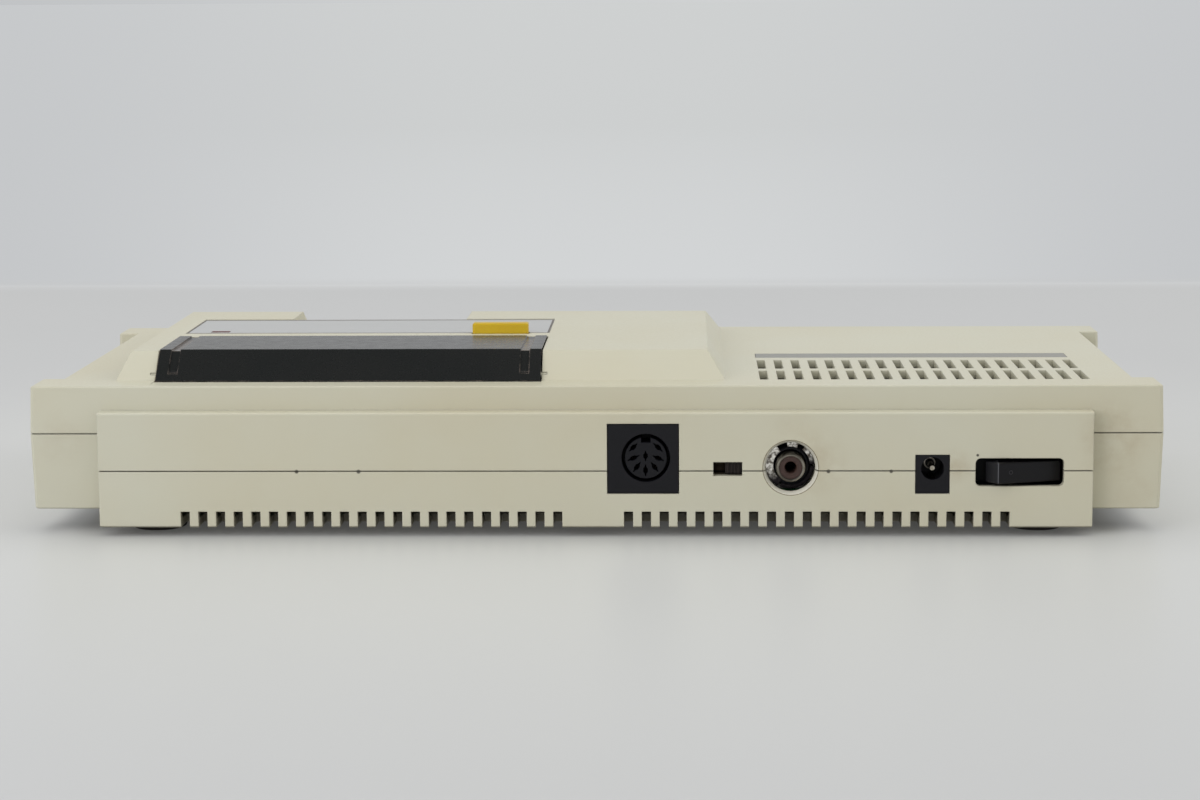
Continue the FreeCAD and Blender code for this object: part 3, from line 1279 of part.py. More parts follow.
def expansion_cover():
    """The blank cover of the expansion port, with two legs that grip the opening."""
    xs = grown(span("expansion_x", "expansion_width"), "(-fit_gap)")
    back = "front_y + cover_back + cover_thick"
    face = block("cover_face", xs, ("front_y + cover_back", back),
                 grown(span(EXPANSION_Z, "expansion_height"), "(-fit_gap)"))
    leg_ys = (f"{back} - cover_thick / 2", f"{back} + cover_leg_out")
    leg_zs = grown(span(EXPANSION_Z, "expansion_height"), "(-cover_leg_in)")
    legs = [block("cover_leg_low", (xs[0], f"{xs[0]} + cover_leg"), leg_ys, leg_zs),
            block("cover_leg_high", (f"{xs[1]} - cover_leg", xs[1]), leg_ys, leg_zs)]
    return joined("expansion_cover", [face, *legs])


def footprint(name):
    """The X and Y spans of a piece on the main board."""
    return span(f"{name}_x", f"{name}_length"), span(f"({BOARD_FRONT} + {name}_in)", f"{name}_width")


def chip(name):
    """A chip on its two rows of legs."""
    xs, ys = footprint(name)
    case = block(f"{name}_case", xs, ys, (f"{BOARD_TOP} + chip_lift", f"{BOARD_TOP} + {name}_height"))
    legs = [block(f"{name}_legs_{side}", grown(xs, "(-chip_leg_in)"), span(f"({edge})", "chip_leg"),
                  (BOARD_TOP, f"{BOARD_TOP} + {name}_height / 2")) for side, edge in enumerate(ys)]
    return joined(name, [case, *legs])


def crystal():
    """The clock crystal's can."""
    can = block("crystal_can", *footprint("crystal"), (BOARD_TOP, f"{BOARD_TOP} + crystal_height"))
    return softened("crystal", can, "crystal_round", lambda edge: edge.BoundBox.ZLength > 5)


def capacitors():
    """The supply's electrolytic capacitors."""
    return group("capacitors", [
        peg(f"{name}_can", (f"{name}_x", f"{BOARD_REAR} - capacitor_in", BOARD_TOP), f"{name}_radius",
            f"{name}_height")
        for name in CAPACITORS])


def heat_sink():
    """The regulator's finned heat sink."""
    xs, ys = footprint("heat_sink")
    zs = (BOARD_TOP, f"{BOARD_TOP} + heat_sink_height")
    back = block("sink_back", xs, (ys[0], f"{ys[0]} + sink_plate"), zs)
    count = 1 + int(value("(heat_sink_length - fin_thick) / fin_pitch"))
    fins = [block(f"sink_fin_{place}",
                  (f"{xs[0]} + fin_pitch * {place}", f"{xs[0]} + fin_pitch * {place} + fin_thick"),
                  (f"{ys[0]} + sink_plate / 2", ys[1]), zs) for place in range(count)]
    return joined("heat_sink", [back, *fins])


def regulator():
    """The voltage regulator against the heat sink."""
    face = footprint("heat_sink")[1][0]
    low = f"{BOARD_TOP} + regulator_lift"
    xs = span("heat_sink_x", "regulator_width")
    tab = block("regulator_tab", xs, (f"{face} - tab_thick", face), (low, f"{low} + tab_height"))
    case = block("regulator_case", xs, (f"{face} - tab_thick - regulator_thick", f"{face} - tab_thick / 2"),
                 (low, f"{low} + regulator_height"))
    leads = [block(f"regulator_lead_{side}", span(f"(heat_sink_x + lead_pitch * {side})", "lead_width"),
                   span(f"({face} - tab_thick - regulator_thick / 2)", "lead_thick"),
                   (BOARD_TOP, f"{low} + {OVER}"))
             for side in (-1, 0, 1)]
    return joined("regulator", [tab, case, *leads])


def shield_cover():
    """The tinned sheet cover over the video chip."""
    xs, ys = footprint("shield_cover")
    high = f"{BOARD_TOP} + shield_cover_height"
    outside = block("shield_outside", xs, ys, (BOARD_TOP, high))
    inside = block("shield_inside", grown(xs, "(-sheet_thick)"), grown(ys, "(-sheet_thick)"),
                   (f"{BOARD_TOP} - {OVER}", f"{high} - sheet_thick"))
    return less("shield_cover", outside, [inside])


PARTS = [
    upper_case(), lower_case(), rubber_feet(), case_screws(), main_board(), board_screws(),
    cartridge_door(), legend_plate(), band("stripe_band", "0", "top_z"), power_led(), led_leads(),
    *(small_board(*details) for details in SMALL_BOARDS), small_board_screws(),
    pause_switch(), pause_plunger(), pause_button(),
    card_guide(), card_connector(), card_contacts(), card_riser_board(), riser_header(),
    cartridge_connector(), cartridge_contacts(), av_socket(), av_contacts(), rf_modulator(),
    jack_tube("rf_jack_washer", "jack_radius + washer_out", "jack_radius - jack_wall", WASHER_END),
    jack_tube("rf_jack_shell", "jack_radius", "jack_radius - jack_wall", BAY_REAR, WASHER_END),
    jack_tube("rf_jack_insulator", "jack_radius - jack_wall", "jack_bore", f"({BAY_REAR} - insulator_back)",
              inside=peg),
    jack_tube("rf_jack_contact", "jack_bore", "jack_bore - jack_contact_wall",
              f"({BAY_REAR} - jack_contact_back)",
              outside=peg, inside=peg),
    channel_switch(), channel_slider(), dc_jack(),
    peg("dc_jack_pin", (DC_X, DC_HOLE_END, DC_HOLE_Z), "dc_pin_radius", "dc_hole_deep - dc_pin_back",
        "y"),
    dc_jack_spring(), power_switch(), power_rocker(), controller_ports(), port_pins(),
    expansion_connector(), expansion_cover(), chip("processor_chip"), chip("video_chip"),
    group("memory_chips", [chip("memory_chip_low"), chip("memory_chip_high")]),
    group("logic_chips", [chip("logic_chip_low"), chip("logic_chip_high"), chip("logic_chip_left")]),
    crystal(), capacitors(), heat_sink(), regulator(), shield_cover(),
    ribbon("switch_cable", BUTTON_MID_X, "switch_ribbon"), ribbon("led_cable", LED_X, "led_ribbon"),
]
doc.recompute()

failed = [item.Label for item in doc.Objects if {"Invalid", "Error"} & set(item.State)]
if failed:
    raise RuntimeError(f"these objects failed: {failed}")
for part in PARTS:
    if part.Shape.isNull() or not part.Shape.isValid() or not part.Shape.Solids:
        raise RuntimeError(f"{part.Label} has no sound solid")
os.makedirs("parts", exist_ok=True)
for part in PARTS:
    part.Shape.exportStep(f"parts/{part.Label}.step")
    print(f"{part.Label}: {len(part.Shape.Solids)} solids, {part.Shape.Volume:.0f} mm3")
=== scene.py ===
# %% [markdown]
# # An early home video game console, seen from behind
#
# This lesson dresses a console that was first built as a CAD model. The CAD gives every
# piece its true size and place, so nothing here is moved to fit. Blender adds what a drawing
# leaves out: moulded plastic with its grain, tinned metal, brown pressed board, rounded rims
# and the first signs of age. Every length below is in millimetres unless it says otherwise.

import math

import bmesh
import bpy
from mathutils import Matrix, Vector


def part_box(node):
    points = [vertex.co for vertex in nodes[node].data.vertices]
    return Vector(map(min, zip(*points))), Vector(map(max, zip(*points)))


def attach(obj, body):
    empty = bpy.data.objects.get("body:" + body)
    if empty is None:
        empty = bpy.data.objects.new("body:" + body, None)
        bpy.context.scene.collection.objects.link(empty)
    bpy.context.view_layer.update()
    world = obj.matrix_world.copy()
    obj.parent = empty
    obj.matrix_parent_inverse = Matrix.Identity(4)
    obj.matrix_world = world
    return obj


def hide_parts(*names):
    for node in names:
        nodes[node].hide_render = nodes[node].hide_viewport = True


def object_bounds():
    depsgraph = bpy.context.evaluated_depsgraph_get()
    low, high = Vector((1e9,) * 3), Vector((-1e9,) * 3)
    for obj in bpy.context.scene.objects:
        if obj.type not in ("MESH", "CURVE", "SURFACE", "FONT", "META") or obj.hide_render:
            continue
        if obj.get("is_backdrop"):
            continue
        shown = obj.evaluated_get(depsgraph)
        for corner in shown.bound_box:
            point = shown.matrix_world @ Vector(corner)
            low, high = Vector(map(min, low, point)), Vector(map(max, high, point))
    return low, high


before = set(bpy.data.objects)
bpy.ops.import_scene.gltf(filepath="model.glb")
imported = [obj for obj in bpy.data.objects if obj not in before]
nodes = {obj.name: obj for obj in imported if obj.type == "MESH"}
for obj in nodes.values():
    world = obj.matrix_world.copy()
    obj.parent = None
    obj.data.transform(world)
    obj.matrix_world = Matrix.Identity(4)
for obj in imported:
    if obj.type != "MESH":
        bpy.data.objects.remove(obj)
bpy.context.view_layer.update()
MM = 0.001

# %% [markdown]
# ## The camera
#
# The photograph was taken from behind the console, from a little above and from far away
# with a long lens, so the case shows almost no perspective. A camera in Blender looks along
# its own minus Z. Its matrix can be written from three directions: right, up and backwards.
# That is exact, and needs no Track To constraint.

# %% Place the camera
scene = bpy.context.scene
CAMERA_PLACE = Vector((-26.54, 827.18, 149.21)) * MM
YAW, PITCH, ROLL = (math.radians(angle) for angle in (1.85, 8.313, -0.352))
SENSOR_WIDTH = 36
FOCAL_PIXELS, PHOTO_WIDTH = 2751.4, 1200
NEAREST_SEEN, FARTHEST_SEEN = 0.01, 1000  # in metres

forward = Vector((math.sin(YAW) * math.cos(PITCH), -math.cos(YAW) * math.cos(PITCH), -math.sin(PITCH)))
level_right = forward.cross(Vector((0, 0, 1))).normalized()
level_up = level_right.cross(forward)
right = level_right * math.cos(ROLL) + level_up * math.sin(ROLL)
up = level_up * math.cos(ROLL) - level_right * math.sin(ROLL)

lens = bpy.data.cameras.new("photo_camera")
lens.sensor_width = SENSOR_WIDTH
lens.lens = FOCAL_PIXELS / PHOTO_WIDTH * SENSOR_WIDTH
lens.clip_start, lens.clip_end = NEAREST_SEEN, FARTHEST_SEEN
camera = bpy.data.objects.new("photo_camera", lens)
scene.collection.objects.link(camera)
turn = Matrix((right, up, -forward)).transposed().to_4x4()
camera.matrix_world = Matrix.Translation(CAMERA_PLACE) @ turn
scene.camera = camera
print(f"lens {lens.lens:.1f} mm, {CAMERA_PLACE.length:.2f} m from the middle of the console")

# %% [markdown]
# ## Node groups, a tool box for materials
#
# Moulded plastic, tinned metal and rubber look different, but they share effects: a fine
# grain, softened edges, dirt in the corners, scratches. A node group holds one effect with
# named inputs, and each material then sets its own values. A few helpers shorten the work,
# and all of them place nodes in the tree that lies on the bench, which is the group or
# material that was started last. `connect` fills a node's inputs: a pair of a node and its
# output becomes a link, and a colour is written as it was read from the photograph, on a
# picture's 0 to 255 scale. The helpers for single nodes give back such a pair, so that one
# call can stand inside the next.

# %% Helpers that place nodes
bench = {"tree": None}


def linear(value):
    """A picture's value from 0 to 255 as the linear value that a shader needs."""
    value /= 255
    return value / 12.92 if value <= 0.04045 else ((value + 0.055) / 1.055) ** 2.4


def connect(node, **inputs):
    """Fill or link a node's inputs, by name, or by number where the name is _0 or the like."""
    for key, value in inputs.items():
        socket = node.inputs[int(key[1:]) if key[1:].isdigit() else key.replace("_", " ")]
        if isinstance(value, tuple) and isinstance(value[0], bpy.types.Node):
            node.id_data.links.new(value[0].outputs[value[1]], socket)
        else:
            socket.default_value = [*map(linear, value), 1.0] if socket.type == "RGBA" else value
    return node


def add(kind, settings=(), **inputs):
    """Place a node, set its properties and connect it."""
    node = bench["tree"].nodes.new(f"ShaderNode{kind}")
    for key, value in dict(settings).items():
        setattr(node, key, value)
    return connect(node, **inputs)


def start_group(name, inputs, outputs):
    """Start a group; a socket is a number, or written like Dirt:Color, and _ stands for a space."""
    tree = bench["tree"] = bpy.data.node_groups.new(name, "ShaderNodeTree")
    for in_out, sockets in (("INPUT", inputs), ("OUTPUT", outputs)):
        for socket in sockets.split():
            label, _, kind = socket.replace("_", " ").partition(":")
            tree.interface.new_socket(label, in_out=in_out, socket_type=f"NodeSocket{kind or 'Float'}")
    return tree.nodes.new("NodeGroupInput"), tree.nodes.new("NodeGroupOutput")


# %% Helpers for the nodes used most
def object_place():
    """The shaded point in the object's own coordinates."""
    return add("TexCoord"), "Object"


def split(place):
    """A node whose outputs X, Y and Z are a place's coordinates."""
    return add("SeparateXYZ", Vector=place)


def calc(operation, first, second=0.0, third=0.0, clamp=False):
    """The result of a Math node, with its inputs given in order."""
    return add("Math", {"operation": operation, "use_clamp": clamp}, _0=first, _1=second, _2=third), "Value"


def ramp(value, old, new=(0.0, 1.0), soft=False):
    """A value whose old range is stretched onto a new one, with soft ends or straight."""
    settings = {"interpolation_type": "SMOOTHSTEP" if soft else "LINEAR"}
    return add("MapRange", settings, Value=value, From_Min=old[0], From_Max=old[1], To_Min=new[0],
               To_Max=new[1]), "Result"


def noise(place, scale, detail, roughness=0.5):
    """The grey value of a Noise texture."""
    return add("TexNoise", Vector=place, Scale=scale, Detail=detail, Roughness=roughness), "Fac"


def mix(share, first, second):
    """Two colours mixed; the Mix node's outputs share one name, so the colour's goes by number."""
    return add("Mix", {"data_type": "RGBA"}, _0=share, _6=first, _7=second), 2


# %% [markdown]
# ### Softened edges and a moulded grain
#
# No moulded edge is sharp. The CAD has the larger rounds, and the Bevel node finishes the
# smallest by bending the shading normal near an edge. A noise of a fraction of a
# millimetre, through Bump, gives the dull texture of a steel mould. The alternative is to
# model each tiny round, which costs many faces for something only light can show.

# %% Group: moulded skin
FEW_SAMPLES = {"samples": 6}  # of the nodes that look about them with rays
given, result = start_group("moulded_skin", "Edge_Radius Grain_Scale Grain_Depth", "Normal:Vector Grain")
grain = noise(object_place(), (given, "Grain Scale"), detail=3.0, roughness=0.6)
softened = add("Bevel", FEW_SAMPLES, Radius=(given, "Edge Radius"))
pressed = add("Bump", Strength=0.6, Distance=(given, "Grain Depth"), Height=grain,
              Normal=(softened, "Normal"))
connect(result, Normal=(pressed, "Normal"), Grain=grain)

# %% [markdown]
# ### Age, dirt and wear
#
# Old plastic yellows in soft clouds, keeps dirt where a cloth can't reach, and is rubbed
# pale or shiny along its edges. Three groups make these. Clouds come from a wide noise.
# Corners come from Ambient Occlusion, which measures how closed in a point is. Edges come
# from the angle between the true normal and the Bevel node's softened one.

# %% Group: clouds of age
given, result = start_group("age_clouds", "Clean:Color Aged:Color Scale Amount", "Color:Color")
drift = noise(object_place(), (given, "Scale"), detail=5.0, roughness=0.55)
share = calc("MULTIPLY", ramp(drift, (0.38, 0.68)), (given, "Amount"))
connect(result, Color=mix(share, (given, "Clean"), (given, "Aged")))

# %% Group: dirt in the corners
given, result = start_group("corner_dirt", "Color:Color Dirt:Color Reach Amount", "Color:Color")
closed = add("AmbientOcclusion", FEW_SAMPLES, Distance=(given, "Reach"))
smear = noise(object_place(), scale=90.0, detail=4.0)
hidden = ramp((closed, "AO"), (0.72, 0.25))
mask = calc("MULTIPLY", hidden, ramp(smear, (0.3, 0.62), (0.35, 1.0)))
mask = calc("MULTIPLY", mask, (given, "Amount"), clamp=True)
connect(result, Color=mix(mask, (given, "Color"), (given, "Dirt")))

# %% Group: rubbed edges
given, result = start_group("rubbed_edges", "Color:Color Rubbed:Color Width Amount", "Color:Color")
bent = add("Bevel", FEW_SAMPLES, Radius=(given, "Width"))
true_side = add("NewGeometry")
same = add("VectorMath", {"operation": "DOT_PRODUCT"}, _0=(bent, "Normal"), _1=(true_side, "Normal"))
patchy = noise(object_place(), scale=220.0, detail=5.0, roughness=0.7)
edge = ramp((same, "Value"), (0.995, 0.86))
mask = calc("MULTIPLY", edge, ramp(patchy, (0.42, 0.6)))
mask = calc("MULTIPLY", mask, (given, "Amount"), clamp=True)
connect(result, Color=mix(mask, (given, "Color"), (given, "Rubbed")))
print("groups:", ", ".join(sorted(group.name for group in bpy.data.node_groups)))

# %% [markdown]
# ### Scratches, brushing and tarnish
#
# A scratch is noise stretched along one direction and cut off so that only thin peaks are
# left. Brushed metal is the same noise, kept whole. Tarnish on tin is a Voronoi pattern
# pushed about by noise, which gives the cells of a dipped coating.

# %% Group: fine scratches
given, result = start_group("fine_scratches", "Stretch:Vector Amount", "Mask Brushing")
lay = add("Mapping", Vector=object_place(), Scale=(given, "Stretch"))
streak = noise((lay, "Vector"), scale=1.0, detail=4.0, roughness=0.65)
peak = ramp(streak, (0.66, 0.72))
connect(result, Mask=calc("MULTIPLY", peak, (given, "Amount"), clamp=True), Brushing=streak)

# %% Group: tarnished tin
TARNISH_PUSH = 0.004
given, result = start_group("tin_tarnish", "Scale Amount", "Mask")
place = object_place()
push = add("TexNoise", Vector=place, Scale=(given, "Scale"), Detail=3.0)
moved = add("VectorMath", {"operation": "MULTIPLY_ADD"}, _0=(push, "Color"), _1=[TARNISH_PUSH] * 3,
            _2=place)
cells = add("TexVoronoi", Vector=(moved, "Vector"), Scale=(given, "Scale"))
dull = ramp((cells, "Distance"), (0.2, 0.75))
connect(result, Mask=calc("MULTIPLY", dull, (given, "Amount"), clamp=True))

# %% [markdown]
# ## The materials
#
# Most pieces are moulded plastic, so one function builds that family: clouds of age, dirt in
# the corners, rubbed edges and a grained skin, each with its own values. Values that are the
# same all over a piece, such as the specular level, are set on the shader itself. Sizes of
# corners, edges and grain are in millimetres.

# %% Starting a material
def start_material(name, **values):
    """A new material and its Principled shader, with plain values set on the shader."""
    material = bpy.data.materials.new(name)
    material.use_nodes = True
    bench["tree"] = material.node_tree
    return material, connect(material.node_tree.nodes["Principled BSDF"], **values)


def effect(name, **inputs):
    """Place one of the shared groups."""
    return add("Group", {"node_tree": bpy.data.node_groups[name]}, **inputs)


def soiled(colour, dirt, reach, amount):
    """A colour with dirt in its corners, where reach is the size of a corner."""
    return effect("corner_dirt", Color=colour, Dirt=dirt, Reach=reach * MM, Amount=amount), "Color"


# %% The moulded family
GREY_RANGE = (0.3, 0.7)  # most of a noise lies between these values


def finish_moulded(shader, colour, edge, grain, depth, rough, rubbed=None, rub=()):
    """Give a colour its rubbed edges and its skin, with a roughness that follows the grain."""
    if rubbed:
        worn = effect("rubbed_edges", Color=colour, Rubbed=rubbed, Width=rub[0] * MM, Amount=rub[1])
        colour = (worn, "Color")
    surface = effect("moulded_skin", Edge_Radius=edge * MM, Grain_Scale=grain, Grain_Depth=depth * MM)
    connect(shader, Base_Color=colour, Roughness=ramp((surface, "Grain"), GREY_RANGE, rough),
            Normal=(surface, "Normal"))


def moulded(name, clean, aged, soil, rubbed, *, edge=0.3, grain=900.0, depth=0.02, rough=(0.42, 0.52),
            cloud=(14.0, 0.5), corner=(1.2, 0.8), rub=(0.35, 0.4), paint=None, shine=0.5, **values):
    """A moulded plastic: cloud is scale and amount, corner and rub are size and amount."""
    material, shader = start_material(name, Specular_IOR_Level=shine, **values)
    colour = (effect("age_clouds", Clean=clean, Aged=aged, Scale=cloud[0], Amount=cloud[1]), "Color")
    if paint:
        colour = paint(colour)
    finish_moulded(shader, soiled(colour, soil, *corner), edge, grain, depth, rough, rubbed, rub)
    return material


# %% [markdown]
# ### The case
#
# The shells are warm grey ABS, a little yellowed. Besides the clouds, the photograph shows
# brown tide marks where hands and plugs rub: round the aerial jack, beside the supply inlet
# and along the parting line of the right-hand ear. Each is a soft spot, measured from its
# middle, and broken up by a noise so that it doesn't look painted on. A second list holds the
# small dark nicks along the seam and at the jack's mouth.

# %% Case plastic: handling marks and nicks
HANDLED = [  # middle in mm, radius where the mark ends, strength
    ((-60, 74, 21), 14, 0.26), ((-66, 74, 19), 7, 0.3), ((-101, 74, 20), 7, 0.34), ((-55, 74, 30), 10, 0.12),
    ((-144, 66, 27), 14, 0.34), ((-12, 74, 31), 14, 0.12), ((150, 66, 27), 10, 0.12),
    ((-150, 66, 12), 12, 0.14),
]
NICKS = [
    ((65.6, 71, 18.5), 0.75, 0.9), ((83.0, 71, 18.5), 0.7, 0.9), ((-65.6, 71, 18.5), 0.7, 0.9),
    ((-83.0, 71, 18.5), 0.65, 0.9), ((-61.8, 71, 21.2), 0.7, 0.9), ((-106.9, 71, 23.0), 0.5, 0.9),
]


def distance_to(place, middle):
    """How far a place is from a middle that is given in mm."""
    return add("VectorMath", {"operation": "DISTANCE"}, _0=place, _1=[c * MM for c in middle]), "Value"


def spots(place, rows, core):
    """The strongest of several soft spots, each full over the core's share of its radius."""
    strongest = None
    for middle, reach, strength in rows:
        away = distance_to(place, middle)
        spot = ramp(away, (reach * MM, reach * MM * core), (0.0, strength), soft=True)
        strongest = calc("MAXIMUM", strongest, spot) if strongest else spot
    return strongest


case_plastic, shader = start_material("case_abs", Specular_IOR_Level=0.45)
place = object_place()
aging = effect("age_clouds", Clean=(192, 190, 171), Aged=(189, 183, 158), Scale=11.0, Amount=0.7)
broken = ramp(noise(place, scale=130.0, detail=5.0, roughness=0.65), (0.36, 0.66))
handled = calc("MULTIPLY", spots(place, HANDLED, core=0.3), broken)
browned = mix(handled, (aging, "Color"), (150, 128, 92))
nicked = mix(spots(place, NICKS, core=0.5), browned, (24, 18, 12))
print(len(HANDLED), "handling marks and", len(NICKS), "nicks")

# %% [markdown]
# Inside the low vents, a wider occlusion finds the buried walls and paints them dark brown as shade.
# The coned lip round the jack's mouth is painted as a lighter band, with a fine dark line along its edge.
# Both follow from the distance to the jack's middle, measured in the plane of the rear wall.

# %% Case plastic: painted shade in the vents, and the jack's lip
VENT_TOP, VENT_REACH = 11, 12
MOUTH_MIDDLE, LIP_FROM_Y = (-55.1, 0.0, 19.5), 68.9
LIP_BANDS = [(7.28, 0.36, (222, 218, 202)), (7.76, 0.11, (112, 102, 78))]  # radius, half width, colour
axes = split(place)
deep = add("AmbientOcclusion", FEW_SAMPLES, Distance=VENT_REACH * MM)
buried = ramp((deep, "AO"), (0.4, 0.15), (0.0, 0.8))
# Painted shade: the buried walls low in the vents turn dark brown.
painted_vent_shade = calc("MULTIPLY", buried, calc("LESS_THAN", (axes, "Z"), VENT_TOP * MM))
colour = mix(painted_vent_shade, soiled(nicked, (88, 74, 52), reach=0.9, amount=0.42), (84, 74, 54))
flat = add("CombineXYZ", X=(axes, "X"), Z=(axes, "Z"))
radius = distance_to((flat, "Vector"), MOUTH_MIDDLE)
at_mouth = calc("GREATER_THAN", (axes, "Y"), LIP_FROM_Y * MM)
for middle, half, colour_there in LIP_BANDS:
    band = calc("COMPARE", radius, middle * MM, half * MM)
    colour = mix(calc("MULTIPLY", band, at_mouth), colour, colour_there)
finish_moulded(shader, colour, edge=0.45, grain=1100.0, depth=0.02, rough=(0.36, 0.46),
               rubbed=(205, 203, 188), rub=(0.4, 0.5))

# %% [markdown]
# ### The door, the black plastics and the rubber
#
# The cartridge door is black with a polish, so it mirrors the pale backdrop at a low angle and goes dark
# from straight above. Rubbing has worn its edges grey, and two grooves in its top are scuffed brown, with
# painted black shade where they end. Its hinge pins are pale. The rocker's slanted end is painted paler than
# its face, as light falling on it, with a painted highlight along its edge. Such marks stop at a line, so
# they are masks from Object coordinates.

# %% Marks on the door and the rocker
DOOR_ENDS, DOOR_FAR_Y, DOOR_TOP_Z = (15.3, 125.2), 14.24, 49.94
GROOVE_IN, GROOVE_HALF, GROOVE_DEPTH, GROOVE_STOP_Y, GROOVE_SHADE_LENGTH = 4.7, 1.3, 0.6, 46.3, 7.0
ROCKER_EDGE_X, ROCKER_EDGE_HALF = -112.4, 0.14


def scuffed_grooves(colour):
    """Brown scuffs in the two grooves of the door's top, with painted black shade where they end."""
    place = object_place()
    axes = split(place)
    distance = calc("ABSOLUTE", calc("SUBTRACT", (axes, "X"), sum(DOOR_ENDS) / 2 * MM))
    half_door = (DOOR_ENDS[1] - DOOR_ENDS[0]) / 2
    across = calc("COMPARE", distance, (half_door - GROOVE_IN) * MM, GROOVE_HALF * MM)
    above = calc("GREATER_THAN", (axes, "Z"), (DOOR_TOP_Z - GROOVE_DEPTH) * MM)
    on_top = calc("MULTIPLY", above, calc("LESS_THAN", (axes, "Y"), GROOVE_STOP_Y * MM))
    scuff = mix(noise(place, scale=500.0, detail=4.0), (44, 38, 33), (86, 74, 64))
    # Painted shade: the grooves' far ends turn black.
    shaded_groove_ends = mix(calc("LESS_THAN", (axes, "Y"), (DOOR_FAR_Y + GROOVE_SHADE_LENGTH) * MM), scuff, (3, 3, 3))
    scuffed = mix(calc("MULTIPLY", across, on_top), colour, shaded_groove_ends)
    return mix(calc("GREATER_THAN", distance, half_door * MM), scuffed, (190, 187, 165))


def painted_light_end(colour):
    """The rocker's slanted end, painted paler as the light falling on it, with a painted highlight along its
    edge.
    """
    axes = split(object_place())
    # Painted light on the end face, and a painted highlight line along its edge.
    beyond = calc("GREATER_THAN", (axes, "X"), ROCKER_EDGE_X * MM)
    edge = calc("COMPARE", (axes, "X"), ROCKER_EDGE_X * MM, ROCKER_EDGE_HALF * MM)
    return mix(edge, mix(beyond, colour, (27, 27, 30)), (78, 78, 81))


# %% [markdown]
# The four colours of a plastic are clean, aged, dirt and rubbed. The socket blocks are a
# duller black than the door, and the feet are dusty rubber.

# %% Black plastics and rubber
door_plastic = moulded("door_gloss_black", (24, 26, 25), (31, 31, 29), (40, 38, 35), (134, 120, 110),
                       edge=0.25, grain=300.0, depth=0.001, rough=(0.24, 0.3), cloud=(30.0, 0.6),
                       corner=(0.8, 0.4), rub=(0.3, 0.95), paint=scuffed_grooves)
black_plastic = moulded("socket_black", (16, 16, 20), (21, 21, 25), (9, 8, 8), (60, 60, 66), edge=0.15,
                        grain=1400.0, depth=0.012, rough=(0.42, 0.55), corner=(0.6, 0.6), rub=(0.15, 0.4),
                        shine=0.25)
# The rocker's pale edges are partly rubbed wear and partly a painted highlight along its bevels.
rocker_plastic = moulded("rocker_black", (11, 10, 13), (15, 14, 17), (6, 5, 5), (104, 103, 108), edge=0.35,
                         grain=1000.0, depth=0.008, rough=(0.3, 0.4), rub=(0.32, 0.7), paint=painted_light_end,
                         shine=0.25)
mark_grey = moulded("mark_grey", (44, 44, 47), (56, 55, 57), (20, 20, 20), (90, 90, 92), edge=0.05,
                    grain=1500.0, depth=0.005, rub=(0.1, 0.4), shine=0.3)
slider_brown = moulded("slider_brown", (32, 25, 23), (42, 33, 29), (14, 11, 10), (84, 74, 66), edge=0.1,
                       grain=1200.0, depth=0.01, rough=(0.45, 0.6), rub=(0.12, 0.5), shine=0.3)
foot_rubber = moulded("foot_rubber", (38, 37, 36), (48, 46, 43), (66, 62, 55), (80, 77, 72), edge=0.4,
                      grain=1600.0, depth=0.05, rough=(0.78, 0.9), cloud=(60.0, 0.8), corner=(2.5, 0.6),
                      shine=0.3)
chip_black = moulded("chip_epoxy", (30, 30, 31), (36, 36, 36), (60, 56, 50), (70, 69, 66), edge=0.2,
                     grain=2000.0, rough=(0.55, 0.68))

# %% Coloured plastics
yellow_plastic = moulded("button_yellow", (191, 160, 5), (181, 148, 4), (120, 92, 20), (236, 210, 90),
                         edge=0.4, depth=0.008, rough=(0.3, 0.38), cloud=(40.0, 0.6), corner=(0.8, 0.6),
                         Subsurface_Weight=0.08, Subsurface_Scale=0.002)
red_plastic = moulded("indicator_red", (96, 26, 20), (80, 20, 16), (44, 12, 10), (120, 46, 36),
                      grain=2600.0, rough=(0.4, 0.5), rub=(0.2, 0.3), shine=0.1)
sleeve_blue = moulded("capacitor_sleeve", (26, 38, 78), (22, 32, 66), (16, 18, 26), (90, 104, 150),
                      edge=0.4, grain=300.0, depth=0.01, rough=(0.18, 0.28), Coat_Weight=0.3)
band_grey = moulded("band_grey", (132, 132, 126), (138, 135, 124), (84, 80, 70), (150, 150, 148), edge=0.1,
                    grain=1500.0, depth=0.006, rough=(0.34, 0.42), rub=(0.15, 0.4))
print(len(bpy.data.materials), "materials so far")

# %% [markdown]
# ### Metals
#
# Tinned sheet is metallic and blotchy: bright where the coating is whole, grey where it has
# oxidised. Roughness carries most of this, because a metal's colour comes from what it
# mirrors. Contacts and screws are the same recipe with other colours and finer scratches.

# %% The metal family
GRAIN_FINER = 3  # a metal's grain is finer than its tarnish by this factor


def metal(name, bright, dull, *, scale=260.0, amount=0.8, rough=(0.22, 0.55), stretch=(60.0, 60.0, 900.0),
          soil=(40, 34, 26), corner=(0.8, 0.8)):
    """A metal with tarnish in cells, fine scratches and dirt in its corners."""
    material, shader = start_material(name, Metallic=1.0)
    cells = effect("tin_tarnish", Scale=scale, Amount=amount)
    lines = effect("fine_scratches", Stretch=stretch, Amount=0.7)
    colour = mix((cells, "Mask"), bright, dull)
    dulled = calc("MAXIMUM", (cells, "Mask"), (lines, "Mask"))
    surface = effect("moulded_skin", Edge_Radius=0.15 * MM, Grain_Scale=scale * GRAIN_FINER,
                     Grain_Depth=0.01 * MM)
    connect(shader, Base_Color=soiled(colour, soil, *corner),
            Roughness=ramp(dulled, (0.0, 1.0), rough), Normal=(surface, "Normal"))
    return material


